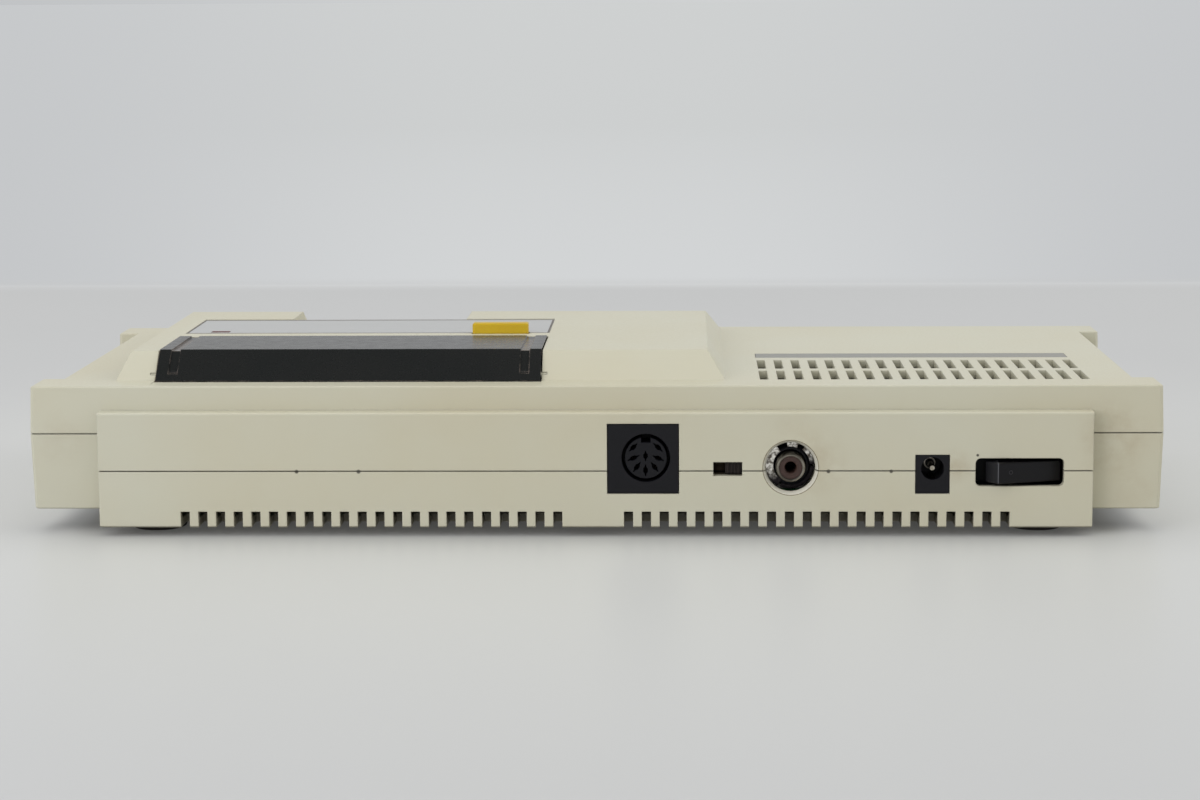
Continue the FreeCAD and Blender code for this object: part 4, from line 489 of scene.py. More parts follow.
tinned_steel = metal("tinned_steel", (206, 203, 196), (128, 120, 108))
contact_metal = metal("contact_plating", (222, 196, 128), (160, 128, 78), scale=500.0, amount=0.5,
                      rough=(0.18, 0.4))
barrel_tin = metal("barrel_tin", (150, 145, 134), (92, 86, 78), rough=(0.3, 0.5), corner=(1.6, 0.9))
# Near-black contact metal: painted shade for contacts that stand deep in their holes.
shade_dark_contact = metal("shade_dark_contact", (30, 25, 22), (18, 14, 13), rough=(0.5, 0.7), soil=(6, 4, 4))
ring_tin = metal("ring_tin", (186, 180, 170), (112, 105, 96), rough=(0.35, 0.5), corner=(0.6, 0.4))
slider_tin = metal("slider_tin", (74, 64, 54), (46, 39, 33), rough=(0.4, 0.65), soil=(20, 16, 12))
pin_metal = metal("pin_nickel", (196, 190, 178), (128, 118, 100), scale=600.0, amount=0.6, rough=(0.16, 0.4))
screw_steel = metal("screw_zinc", (190, 190, 184), (140, 134, 118), scale=400.0, amount=0.7,
                    rough=(0.25, 0.5))
sink_metal = metal("anodised_black", (52, 52, 54), (70, 68, 66), scale=120.0, amount=0.4, rough=(0.3, 0.5),
                   stretch=(900.0, 60.0, 60.0))

# %% [markdown]
# The lock ring round the jack's barrel is bright tin above a slanting, ragged line, and painted almost black
# below it as shade. The line is the height plus a share of X, pushed about by a noise.

# %% Tin of the lock ring
LOCK_RING_X, SHADE_LINE_Z, SHADE_LINE_SOFT = -55.1, 19.5, 3.0
SHADE_LINE_SLANT, SHADE_LINE_RAGGED = 0.42, 4.0
lock_ring_tin, shader = start_material("lock_ring_tin", Metallic=1.0)
place = object_place()
axes = split(place)
sideways = calc("SUBTRACT", (axes, "X"), LOCK_RING_X * MM)
slanted = calc("MULTIPLY_ADD", sideways, SHADE_LINE_SLANT, (axes, "Z"))
ragged = calc("MULTIPLY_ADD", noise(place, scale=420.0, detail=3.0), SHADE_LINE_RAGGED * MM, slanted)
# Painted shade: below the ragged line the tin turns almost black.
bright = ramp(ragged, (SHADE_LINE_Z * MM, (SHADE_LINE_Z + SHADE_LINE_SOFT) * MM))
cells = (effect("tin_tarnish", Scale=700.0, Amount=1.0), "Mask")
upper = mix(cells, (248, 245, 238), (112, 104, 95))
connect(shader, Base_Color=mix(bright, (46, 42, 44), upper),
        Roughness=ramp(cells, (0.0, 1.0), (0.25, 0.5)))

# %% [markdown]
# ### The legend plate
#
# The plate beside the door is thin aluminium with a satin brushing along X and a printed
# line just inside its edge. The line follows the plate's own rectangle: the distance to the
# nearest edge is found from Object coordinates, and a narrow range of it is printed brown.
# Along Y that distance is narrowed first, which makes the long lines three times as wide as
# the short ones.

# %% Plate material
LINE_INSET, LINE_HALF, Y_NARROWED = 0.3, 0.25, 0.3
plate_low, plate_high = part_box("legend_plate")
plate_metal, shader = start_material("plate_satin", Metallic=0.55)
axes = split(object_place())
gaps = []
for axis, narrowing in ((0, 1.0), (1, Y_NARROWED)):
    middle, half = (plate_high[axis] + plate_low[axis]) / 2, (plate_high[axis] - plate_low[axis]) / 2
    distance = calc("ABSOLUTE", calc("SUBTRACT", (axes, axis), middle))
    gaps.append(calc("MULTIPLY", calc("SUBTRACT", half, distance), narrowing))
printed = calc("COMPARE", calc("MINIMUM", *gaps), LINE_INSET * MM, LINE_HALF * MM)
brushing = (effect("fine_scratches", Stretch=(25.0, 2400.0, 2400.0), Amount=0.5), "Brushing")
inked = mix(printed, mix(brushing, (197, 198, 197), (207, 208, 207)), (92, 80, 68))
ridges = add("Bump", Strength=0.25, Distance=0.01 * MM, Height=brushing)
connect(shader, Base_Color=soiled(inked, (110, 100, 84), reach=0.8, amount=0.5),
        Roughness=ramp(brushing, GREY_RANGE, (0.3, 0.46)), Normal=(ridges, "Normal"))

# %% [markdown]
# ### Circuit board, brown insulator and ribbon cable
#
# Inside, the boards carry tracks under green lacquer. A Voronoi pattern's borders are
# straight runs that meet at odd angles, much like routed tracks, and a second pattern's
# middles are the soldered pads. The jack's insulator is pressed brown board with fibres, and
# the ribbon cables are grey with a ridge for each wire, which a Wave texture makes.

# %% Board
board_green, shader = start_material("board_lacquer", Coat_Weight=0.25, Coat_Roughness=0.2)
place = object_place()
routes = add("TexVoronoi", {"feature": "DISTANCE_TO_EDGE"}, Vector=place, Scale=150.0)
pads = add("TexVoronoi", {"distance": "CHEBYCHEV"}, Vector=place, Scale=230.0)
track = ramp((routes, "Distance"), (0.05, 0.09), (1.0, 0.0))
pad = ramp((pads, "Distance"), (0.14, 0.1))
lacquer = mix(track, (28, 74, 44), (52, 112, 62))
relief = add("Bump", Strength=0.5, Distance=0.05 * MM, Height=calc("MAXIMUM", track, pad))
connect(shader, Base_Color=mix(pad, lacquer, (176, 172, 160)),
        Roughness=ramp(pad, (0.0, 1.0), (0.32, 0.45)), Normal=(relief, "Normal"))

# %% Insulator and ribbon
insulator_brown, shader = start_material("insulator_board")
fibres = effect("fine_scratches", Stretch=(900.0, 300.0, 900.0), Amount=0.8)
pressed_brown = mix((fibres, "Brushing"), (46, 30, 25), (74, 52, 44))
finish_moulded(shader, soiled(pressed_brown, (24, 16, 12), reach=0.8, amount=0.9), edge=0.15, grain=1800.0,
               depth=0.03, rough=(0.5, 0.65))

cable_grey, shader = start_material("ribbon_grey")
wires = (add("TexWave", {"bands_direction": "X", "wave_profile": "SIN"}, Vector=object_place(),
             Scale=250.0, Distortion=0.0), "Fac")
ridge = add("Bump", Strength=0.8, Distance=0.4 * MM, Height=wires)
connect(shader, Base_Color=mix(wires, (112, 112, 112), (150, 150, 148)),
        Roughness=ramp(wires, (0.0, 1.0), (0.5, 0.4)), Normal=(ridge, "Normal"))
print(len(bpy.data.materials), "materials")

# %% [markdown]
# ## Dressing the CAD nodes
#
# A node whose shape is right keeps it, and only gets its finish. One table names the finish
# of every node, so nothing is forgotten. The cell stops if a node is missing from it.

# %% Give every node its material
FINISHES = {
    case_plastic: "upper_case lower_case expansion_cover",
    door_plastic: "cartridge_door",
    plate_metal: "legend_plate",
    band_grey: "stripe_band",
    yellow_plastic: "pause_button",
    red_plastic: "power_led",
    foot_rubber: "rubber_feet",
    rocker_plastic: "power_rocker channel_slider",
    screw_steel: "case_screws board_screws small_board_screws",
    board_green: "main_board switch_board led_board card_riser_board",
    black_plastic: "pause_switch pause_plunger card_guide card_connector riser_header cartridge_connector "
                   "av_socket rf_jack_washer dc_jack power_switch controller_ports expansion_connector",
    slider_tin: "channel_switch",
    tinned_steel: "rf_modulator rf_jack_shell crystal shield_cover led_leads",
    contact_metal: "card_contacts cartridge_contacts av_contacts rf_jack_contact dc_jack_spring port_pins",
    pin_metal: "dc_jack_pin",
    insulator_brown: "rf_jack_insulator",
    chip_black: "processor_chip video_chip memory_chips logic_chips regulator",
    sleeve_blue: "capacitors",
    sink_metal: "heat_sink",
    cable_grey: "switch_cable led_cable",
}
dressed = set()
for material, names in FINISHES.items():
    for name in names.split():
        nodes[name].material_slots[0].material = material
        dressed.add(name)
assert dressed == set(nodes), sorted(set(nodes) ^ dressed)
print(f"{len(dressed)} nodes dressed")

# %% [markdown]
# ## Pieces modelled again
#
# The CAD keeps the small parts plain, because its facets are counted. Here they get the
# detail that the photograph shows. A few helpers draw most of them. `ring` places a closed
# line of vertices, `wall` joins such lines with quads, and `cap` fills the area between
# lines, so that a line inside another one stays a hole. A turned part needs only a profile,
# which Spin sweeps round an axis and closes with a merge. Each part is drawn from the middle
# of the face that shows, so its numbers are sizes and depths, and not places.

# %% Helpers for places
def facing_back(middle):
    """Places on the rear wall: u runs along X, v up, and w out of the wall."""
    return lambda u, v, w: middle + Vector((u, w, v))


def facing_up(middle=Vector()):
    """Places seen from above: u runs along X, v along Y, and w up."""
    return lambda u, v, w: middle + Vector((u, v, w))


def box_mm(name):
    """A node's box at rest, in millimetres."""
    low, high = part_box(name)
    return Vector(low) / MM, Vector(high) / MM


def rear_middle(low, high):
    """The middle of a box's rear face."""
    return Vector(((low.x + high.x) / 2, high.y, (low.z + high.z) / 2))


# %% Helpers for lines
def arc(radius, angles):
    """Points at one radius as a line of (u, v)."""
    return [(radius * math.cos(angle), radius * math.sin(angle)) for angle in angles]


def circle(radius, steps=64):
    """A circle as a line of (u, v)."""
    return arc(radius, [math.tau * step / steps for step in range(steps)])


def rounded_box(half_u, half_v, radius, steps=5):
    """A rectangle with round corners as a line of (u, v)."""
    line = []
    for corner, (side_u, side_v) in enumerate(((1, 1), (-1, 1), (-1, -1), (1, -1))):
        for step in range(steps + 1):
            angle = math.tau / 4 * (corner + step / steps)
            line.append((side_u * (half_u - radius) + radius * math.cos(angle),
                         side_v * (half_v - radius) + radius * math.sin(angle)))
    return line


def ring(mesh, line, w, place):
    """A closed line of vertices at the depth w."""
    return [mesh.verts.new(place(u, v, w)) for u, v in line]


# %% Helpers for surfaces
def wall(mesh, *rings):
    """Quads between each ring and the next one, which has as many vertices."""
    for first, second in zip(rings, rings[1:]):
        for index in range(len(first)):
            after = (index + 1) % len(first)
            mesh.faces.new((first[index], first[after], second[after], second[index]))


def cap(mesh, *rings):
    """Fill the area inside the first ring and outside the others."""
    edges = []
    for verts in rings:
        for index, vert in enumerate(verts):
            after = verts[(index + 1) % len(verts)]
            edges.append(mesh.edges.get((vert, after)) or mesh.edges.new((vert, after)))
    bmesh.ops.triangle_fill(mesh, edges=edges, use_beauty=True)


def bar(mesh, line, start, end, place):
    """A solid with the same outline all along, from one depth to another."""
    first, last = ring(mesh, line, start, place), ring(mesh, line, end, place)
    wall(mesh, first, last)
    cap(mesh, first)
    cap(mesh, last)


def turned(mesh, profile, middle, axis=(0, 1, 0), steps=64):
    """Spin a profile of (radius, distance along the axis) round an axis through the middle."""
    verts = [mesh.verts.new(Vector(middle) + Vector((radius, 0, 0)) + Vector(axis) * distance)
             for radius, distance in profile]
    edges = [mesh.edges.new(pair) for pair in zip(verts, verts[1:])]
    bmesh.ops.spin(mesh, geom=verts + edges, cent=middle, axis=axis, angle=math.tau, steps=steps,
                   use_merge=True)


def rounded(mesh, edges, radius, segments):
    """Round some edges."""
    bmesh.ops.bevel(mesh, geom=edges, offset=radius, segments=segments, profile=0.5, affect="EDGES",
                    material=-1)


# %% Helper that finishes a piece
SHARP_ANGLE = math.radians(35)
MERGE_WITHIN = 0.001


def piece(mesh, name, material, stands_for=(), body="console"):
    """Merge a mesh, turn its faces outwards, smooth its rounds and let it ride on a body."""
    bmesh.ops.remove_doubles(mesh, verts=mesh.verts, dist=MERGE_WITHIN)
    bmesh.ops.recalc_face_normals(mesh, faces=mesh.faces)
    bmesh.ops.scale(mesh, vec=(MM,) * 3, verts=mesh.verts)
    data = bpy.data.meshes.new(name)
    mesh.to_mesh(data)
    mesh.free()
    data.shade_smooth()
    data.set_sharp_from_angle(angle=SHARP_ANGLE)
    data.materials.append(material)
    thing = bpy.data.objects.new(name, data)
    scene.collection.objects.link(thing)
    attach(thing, body)
    if stands_for:
        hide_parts(*stands_for)
    print(f"{name}: {len(data.polygons)} faces")


# %% [markdown]
# ### The round video socket
#
# The socket is one moulding: a block, a ring-shaped groove for the plug's shell, and a disc
# in the middle with a key notch and eight openings. Each opening is a spindle, pointed at
# both ends and wide in the middle, and leans its own way. The contacts stand deep inside as
# small tarnished tubes, so they only catch a glint.

# %% Lines of the video socket
GROOVE_OUTER, GROOVE_INNER, GROOVE_DEEP = 6.75, 5.85, 8.0
DISC_X, DISC_Z, DISC_STEPS = -14.8, 22.3, 56
KEY_HALF, KEY_DEEP = 1.3, 1.5
WAYS = [  # offset from the disc's middle, lean in degrees, length
    (3.5, 2.95, -44, 3.2), (-3.4, 2.95, 43, 3.4), (3.45, -0.05, -24, 3.6), (-3.45, -0.1, 24, 3.4),
    (2.5, -2.55, -54, 3.4), (-2.45, -2.6, 53, 3.3), (0.1, -3.5, 90, 3.3), (0.1, 0.55, 90, 2.9),
]
SPINDLE = [(0.5, 0.08), (0.27, 0.24), (0.13, 0.6), (-0.13, 0.6), (-0.27, 0.24), (-0.5, 0.08)]


def spindle(offset_u, offset_v, lean, length, grow=0.0):
    """A leaning opening; SPINDLE says how far along, as a share of its length, and across."""
    half = [(share * length + math.copysign(grow, share), across + grow) for share, across in SPINDLE]
    outline = half + [(along, -across) for along, across in reversed(half)]
    cos, sin = math.cos(math.radians(lean)), math.sin(math.radians(lean))
    return [(offset_u + along * cos - across * sin, offset_v + along * sin + across * cos)
            for along, across in outline]


def keyed_disc(radius, grow=0.0):
    """The disc's outline, with the key notch at its top."""
    start = math.acos((KEY_HALF + grow) / radius)
    angles = [math.pi - start + (math.pi + 2 * start) * step / DISC_STEPS for step in range(DISC_STEPS + 1)]
    return arc(radius, angles) + [(side * (KEY_HALF + grow), radius - KEY_DEEP) for side in (1, -1)]


# %% Video socket
low, high = box_mm("av_socket")
at_block = facing_back(rear_middle(low, high))
at_disc = facing_back(Vector((DISC_X, high.y, DISC_Z)))
half_u, half_v = (high.x - low.x) / 2, (high.z - low.z) / 2
BLOCK_ROUND, RIM = 0.45, 0.15
DISC_BACK, SPINDLE_RIM, SPINDLE_FLARE, SPINDLE_STOP = 0.1, 0.12, 0.07, 0.3
mesh = bmesh.new()
front = ring(mesh, rounded_box(half_u - RIM, half_v - RIM, BLOCK_ROUND - RIM), 0, at_block)
side = ring(mesh, rounded_box(half_u, half_v, BLOCK_ROUND), -RIM, at_block)
back = ring(mesh, rounded_box(half_u, half_v, BLOCK_ROUND), low.y - high.y, at_block)
wall(mesh, front, side, back)
cap(mesh, back)
lip = ring(mesh, circle(GROOVE_OUTER + RIM), 0, at_disc)
mouth = ring(mesh, circle(GROOVE_OUTER), -RIM, at_disc)
groove_end = ring(mesh, circle(GROOVE_OUTER), -GROOVE_DEEP, at_disc)
wall(mesh, lip, mouth, groove_end)
cap(mesh, front, lip)
disc_face = ring(mesh, keyed_disc(GROOVE_INNER - RIM, RIM), -DISC_BACK, at_disc)
disc_rim = ring(mesh, keyed_disc(GROOVE_INNER), -DISC_BACK - RIM, at_disc)
disc_foot = ring(mesh, keyed_disc(GROOVE_INNER), -GROOVE_DEEP, at_disc)
wall(mesh, disc_face, disc_rim, disc_foot)
cap(mesh, groove_end, disc_foot)
openings = []
for way in WAYS:
    openings.append(ring(mesh, spindle(*way, grow=SPINDLE_FLARE), -DISC_BACK, at_disc))
    throat = ring(mesh, spindle(*way), -DISC_BACK - SPINDLE_RIM, at_disc)
    bottom = ring(mesh, spindle(*way), SPINDLE_STOP - GROOVE_DEEP, at_disc)
    wall(mesh, openings[-1], throat, bottom)
    cap(mesh, bottom)
cap(mesh, disc_face, *openings)
piece(mesh, "video_socket", black_plastic, ["av_socket"])

# %% Contacts of the video socket
TUBE = [(0.36, -7.75), (0.36, -2.5), (0.44, -2.4), (0.47, -2.4), (0.52, -2.5), (0.52, -7.75), (0.36, -7.75)]
mesh = bmesh.new()
for offset_u, offset_v, lean, length in WAYS:
    turned(mesh, TUBE, at_disc(offset_u, offset_v, 0), steps=16)
piece(mesh, "video_contacts", slider_tin, ["av_contacts"])

# %% [markdown]
# ### The aerial jack
#
# The jack stands back in its round mouth: a tinned barrel with its rim rolled inwards, a brown insulator
# with a countersunk hole, and the contact deep in the dark, painted dark as shade. Round the barrel sits a
# sheet metal lock ring. It is open in four places, and its lower part lies deeper and is painted dark as
# shade, so only the upper arcs shine. Behind it, a black sleeve fills the mouth.

# %% Barrel, insulator and contact of the aerial jack
low, high = box_mm("rf_jack_shell")
JACK = rear_middle(low, high)
root = low.y - high.y
mesh = bmesh.new()
turned(mesh, [(3.5, root), (4.1, root), (4.1, -0.75), (4.02, -0.35), (3.86, -0.1), (3.62, 0), (3.38, -0.06),
              (3.24, -0.2), (3.2, -0.38), (3.5, -0.42), (3.5, root)], JACK)
piece(mesh, "jack_barrel", barrel_tin, ["rf_jack_shell"])

low, high = box_mm("rf_jack_insulator")
root = low.y - high.y
mesh = bmesh.new()
turned(mesh, [(1.6, root), (3.5, root), (3.5, -0.05), (3.3, 0), (2.9, 0), (2.8, -0.12), (2.2, -0.16),
              (2.1, -0.08), (1.85, -0.1), (1.6, -0.45), (1.6, root)], (JACK.x, high.y, JACK.z))
piece(mesh, "jack_insulator", insulator_brown, ["rf_jack_insulator"])

TIP_BACK = 6.5
low, high = box_mm("rf_jack_contact")
root = low.y - (JACK.y - TIP_BACK)
mesh = bmesh.new()
turned(mesh, [(0, root), (1.55, root), (1.55, -0.4), (1.45, 0), (1.3, -0.05), (1.2, -0.5), (1.2, -2.5),
              (0, -2.5)], (JACK.x, JACK.y - TIP_BACK, JACK.z), steps=32)
piece(mesh, "jack_contact", shade_dark_contact, ["rf_jack_contact"])

# %% Lock ring and sleeve of the aerial jack
ARCS = [  # first and last angle, inner and outer radius, depth behind the mouth
    (69, 98, 5.3, 6.75, 4.4), (125, 238, 4.75, 6.75, 4.4),
    (4, 52, 5.55, 6.65, 4.6), (246, 356, 5.2, 6.8, 5.6),
]
SHEET, DEGREES_PER_STEP, FEWEST_STEPS = 0.35, 3, 6
mesh = bmesh.new()
for first, last, inner, outer, back in ARCS:
    steps = max(FEWEST_STEPS, (last - first) // DEGREES_PER_STEP)
    angles = [math.radians(180 - first - (last - first) * step / steps) for step in range(steps + 1)]
    line = arc(outer, angles) + arc(inner, reversed(angles))
    bar(mesh, line, -back, -back - SHEET, facing_back(JACK))
piece(mesh, "jack_lock_ring", lock_ring_tin)

mesh = bmesh.new()
turned(mesh, [(4.12, -7.6), (6.2, -7.6), (6.2, -6.4), (5.4, -4.8), (4.9, -4.5), (4.6, -4.45), (4.4, -4.6),
              (4.12, -5.4), (4.12, -7.6)], JACK)
piece(mesh, "jack_sleeve", black_plastic)

# %% [markdown]
# ### The supply inlet
#
# A pin with a polished, blunt tip stands in a deep round hole. The end of its tube lies at the bottom of the
# hole as a thin bright ring, and a bowed spring strip, painted dark as shade, runs along the hole's wall.

# %% Supply pin and ring
PIN = rear_middle(*box_mm("dc_jack_pin"))
spring_low, spring_high = box_mm("dc_jack_spring")
hole_end = spring_low.y - PIN.y
mesh = bmesh.new()
turned(mesh, [(0, -0.05), (0.5, 0), (0.68, -0.06), (0.76, -0.2), (0.78, -0.5), (0.78, hole_end),
              (0, hole_end)], PIN, steps=40)
piece(mesh, "supply_pin", pin_metal, ["dc_jack_pin"])

mesh = bmesh.new()
turned(mesh, [(1.25, 0), (1.25, 0.5), (1.31, 0.56), (1.62, 0.56), (1.68, 0.5), (1.68, 0), (1.25, 0)],
       (PIN.x, spring_low.y, PIN.z), steps=40)
piece(mesh, "supply_ring", ring_tin)

# %% Supply spring
SPRING_THICK, SPRING_BOW, SPRING_STEPS = 0.25, 0.45, 12
half = (spring_high.x - spring_low.x) / 2
at_spring = facing_back(Vector((PIN.x, 0, spring_low.z)))
sections = []
mesh = bmesh.new()
for step in range(SPRING_STEPS + 1):
    share = step / SPRING_STEPS
    rise = SPRING_BOW * math.sin(math.pi * share) ** 2
    line = [(-half, rise), (half, rise), (half, rise + SPRING_THICK), (-half, rise + SPRING_THICK)]
    sections.append(ring(mesh, line, spring_low.y + (spring_high.y - spring_low.y) * share, at_spring))
wall(mesh, *sections)
cap(mesh, sections[0])
cap(mesh, sections[-1])
piece(mesh, "supply_spring", shade_dark_contact, ["dc_jack_spring"])

# %% [markdown]
# ### The channel slider and the power rocker
#
# The slider has four low ribs for a fingernail. The rocker is a bar whose proud end is cut
# off at a slant, with soft edges round its face, a hub behind and a pin above and below. It
# is drawn in its own axes and turned to its rest angle. A small raised ring marks the side
# that switches on. Bar and mark both ride on the rocker's body.

# %% Slider
RIBS, RIB_HIGH, RIB_SLOPE = 4, 0.45, 0.2  # the slope is a share of the pitch
low, high = box_mm("channel_slider")
pitch = (high.x - low.x) / (RIBS * 2 + 1)
line = [(low.x, low.y), (high.x, low.y), (high.x, high.y - RIB_HIGH)]
for rib in range(RIBS):
    start = high.x - pitch * (rib * 2 + 1)
    for share, drop in ((0, RIB_HIGH), (RIB_SLOPE, 0), (1 - RIB_SLOPE, 0), (1, RIB_HIGH)):
        line.append((start - pitch * share, high.y - drop))
line.append((low.x, high.y - RIB_HIGH))
mesh = bmesh.new()
bar(mesh, line, low.z, high.z, facing_up())
piece(mesh, "channel_knob", slider_brown, ["channel_slider"], body="channel_slider")

# %% Rocker
PIVOT, REST_TILT = Vector((-118.6, 64.98, 18.2)), math.radians(17)
FACE_Y, BACK_Y, HALF_HIGH, END_X = 6.4, 1.5, 2.9, 9.7
ROCKER_LINE = [(-10.3, BACK_Y), (-10.3, FACE_Y), (8.4, FACE_Y), (9.8, 3.2), (10.1, BACK_Y)]
HUB_RADIUS, HUB_HALF, PIN_RADIUS, PIN_HALF = 2.2, 2.89, 1.2, 5.15
ROCKER_ROUND, FLAT_ANGLE = 0.35, 0.01
LEVEL, CLOSE = 0.1, 0.01  # an edge is level, and points are at one height, within these


def tilted(mesh):
    """Turn a part of the rocker from its own axes to its place at rest."""
    bmesh.ops.rotate(mesh, cent=(0, 0, 0), matrix=Matrix.Rotation(REST_TILT, 3, "Z"), verts=mesh.verts)
    bmesh.ops.translate(mesh, vec=PIVOT, verts=mesh.verts)


mesh = bmesh.new()
bar(mesh, ROCKER_LINE, -HALF_HIGH, HALF_HIGH, facing_up())
bmesh.ops.dissolve_limit(mesh, angle_limit=FLAT_ANGLE, verts=mesh.verts, edges=mesh.edges)
round_face = [e for e in mesh.edges if max(v.co.y for v in e.verts) > FACE_Y - CLOSE
              or all(v.co.x > END_X for v in e.verts) and abs(e.verts[0].co.z - e.verts[1].co.z) < LEVEL]
rounded(mesh, round_face, ROCKER_ROUND, segments=3)
for profile in ([(0, -HUB_HALF), (HUB_RADIUS, -HUB_HALF), (HUB_RADIUS, HUB_HALF), (PIN_RADIUS, HUB_HALF),
                 (PIN_RADIUS, PIN_HALF), (0, PIN_HALF)],
                [(0, -PIN_HALF), (PIN_RADIUS, -PIN_HALF), (PIN_RADIUS, -HUB_HALF)]):
    turned(mesh, profile, (0, 0, 0), axis=(0, 0, 1), steps=32)
tilted(mesh)
piece(mesh, "rocker_bar", rocker_plastic, ["power_rocker"], body="power_rocker")

MARK = (4.7, FACE_Y, 0.2)  # along the rocker, out to its face, up
MARK_RADIUS, MARK_WIRE, WIRE_STEPS = 0.5, 0.09, 8
wire = circle(MARK_WIRE, WIRE_STEPS)
mesh = bmesh.new()
turned(mesh, [(MARK_RADIUS + u, v) for u, v in wire + wire[:1]], MARK, steps=24)
tilted(mesh)
piece(mesh, "rocker_mark", mark_grey, body="power_rocker")

# %% [markdown]
# ### The yellow button, the feet and the case screws
#
# The button is one block whose upright corners and top edges are rounded by two bevels, the
# upright ones first, on a thin flange. The feet are turned, with a ring-shaped tread round a
# hollow. A screw head is a turned disc with a cross cut into it, over a plain shank.

# %% Button
BUTTON_X, BUTTON_Y, BUTTON_ROUND = 16.8, 4.8, 0.6
FLANGE_THICK, FLANGE_ROUND = 1.2, 1.8
low, high = box_mm("pause_button")
middle = (low + high) / 2
block_low = low.z + FLANGE_THICK / 2
mesh = bmesh.new()
bmesh.ops.create_cube(
    mesh, size=1.0, matrix=Matrix.Translation((middle.x, middle.y, (block_low + high.z) / 2))
    @ Matrix.Diagonal((BUTTON_X, BUTTON_Y, high.z - block_low, 1.0)))
upright = [e for e in mesh.edges if abs(e.verts[0].co.z - e.verts[1].co.z) > LEVEL]
rounded(mesh, upright, BUTTON_ROUND, segments=4)
crown = [e for e in mesh.edges if all(abs(v.co.z - high.z) < CLOSE for v in e.verts)]
rounded(mesh, crown, BUTTON_ROUND, segments=4)
flange = rounded_box((high.x - low.x) / 2, (high.y - low.y) / 2, FLANGE_ROUND)
bar(mesh, flange, low.z, low.z + FLANGE_THICK, facing_up(Vector((middle.x, middle.y, 0))))
piece(mesh, "yellow_button", yellow_plastic, ["pause_button"], body="button")

# %% Feet
FOOT = 7.8
low, high = box_mm("rubber_feet")
tread = [(0, high.z), (FOOT, high.z), (FOOT, 0.7), (FOOT - 0.2, 0.3), (FOOT - 0.7, 0.05), (FOOT - 1.2, 0),
         (4.2, 0), (3.8, 0.2), (3.6, 0.9), (0, 1.0)]
mesh = bmesh.new()
for x in (low.x + FOOT, high.x - FOOT):
    for y in (low.y + FOOT, high.y - FOOT):
        turned(mesh, tread, (x, y, 0), axis=(0, 0, 1), steps=48)
piece(mesh, "round_feet", foot_rubber, ["rubber_feet"])

# %% Case screws
SHANK, SCREW_MIDDLE_X, SCREW_STEPS = 1.43, 8, 32
HEAD = [(2.2, 0), (2.75, 0.5), (2.9, 1.0), (2.9, 2.2)]  # radius, distance up from the face
HEAD_RADIUS, HEAD_THICK = HEAD[-1]
a, b, CROSS_DEEP, CROSS_NARROWS = 1.5, 0.38, 1.1, 0.6  # the arm and half its width come first
cross = [(a, -b), (a, b), (b, b), (b, a), (-b, a), (-b, b),
         (-a, b), (-a, -b), (-b, -b), (-b, -a), (b, -a), (b, -b)]
low, high = box_mm("case_screws")
mesh = bmesh.new()
for x in (low.x + HEAD_RADIUS, SCREW_MIDDLE_X, high.x - HEAD_RADIUS):
    for y in (low.y + HEAD_RADIUS, high.y - HEAD_RADIUS):
        at_screw = facing_up(Vector((x, y, low.z)))
        head = [ring(mesh, circle(radius, SCREW_STEPS), up, at_screw) for radius, up in HEAD]
        neck = ring(mesh, circle(SHANK, SCREW_STEPS), HEAD_THICK, at_screw)
        point = ring(mesh, circle(SHANK, SCREW_STEPS), high.z - low.z, at_screw)
        wall(mesh, *head)
        wall(mesh, neck, point)
        cap(mesh, head[-1], neck)
        cap(mesh, point)
        slot = ring(mesh, cross, 0, at_screw)
        bottom = ring(mesh, [(u * CROSS_NARROWS, v * CROSS_NARROWS) for u, v in cross], CROSS_DEEP,
                      at_screw)
        wall(mesh, slot, bottom)
        cap(mesh, bottom)
        cap(mesh, head[0], slot)
piece(mesh, "cross_screws", screw_steel, ["case_screws"])

# %% [markdown]
# ## The studio
#
# The console stands on a pale table in front of a pale backdrop. One wide quad does both.
# Up to the table's end it is a milky sheet that takes the soft shadow and, being lit from
# below as well, gives out a little light of its own. Under the console that light is cut
# off, so the sheet is painted darker there. The backdrop is lit on its own in a real studio,
# so beyond the table the paint gives out its own colour instead of waiting for the lamps.
# The backdrop's tone falls off a little towards the sides, a painted fall-off of light, and the same
# fall-off serves the world, which shows above the quad's far end. The quad is marked as stage, because it
# isn't part of the object. Its lengths are in metres.

# %% Group: the backdrop's tone
BACKDROP, BACKDROP_EDGE, NEAR_TABLE = (201, 203, 203), (193, 195, 197), (207, 209, 210)
given, result = start_group("backdrop_fade", "Across Away Middle:Color", "Color:Color")
slant = calc("DIVIDE", (given, "Across"), (given, "Away"))
sideways = calc("ABSOLUTE", calc("SUBTRACT", slant, math.tan(YAW)))
# A painted fall-off of light towards the sides.
connect(result, Color=mix(ramp(sideways, (0.03, 0.24), soft=True), (given, "Middle"), BACKDROP_EDGE))

# %% The quad
TABLE_END, BACKDROP_START = -0.58, -0.66
FAR_END, NEAR_END, HALF_ACROSS = -120.0, 6.0, 60.0
mesh = bmesh.new()
bmesh.ops.create_grid(mesh, x_segments=1, y_segments=1, size=1.0,
                      matrix=Matrix.Translation((0, (FAR_END + NEAR_END) / 2, 0))
                      @ Matrix.Diagonal((HALF_ACROSS, (NEAR_END - FAR_END) / 2, 1, 1)))
floor_data = bpy.data.meshes.new("floor")
mesh.to_mesh(floor_data)
mesh.free()
floor = bpy.data.objects.new("floor", floor_data)
scene.collection.objects.link(floor)
floor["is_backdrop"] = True

# %% Paint of the table
TABLE_TONE, TABLE_OUTSIDE, BLACK = (188, 189, 186), (174, 175, 175), (0, 0, 0)
CLEAR_RADIUS, OUTSIDE_RADIUS = 0.08, 0.4
UNDER_SHADE, UNDER_FRONT = 0.62, -0.07
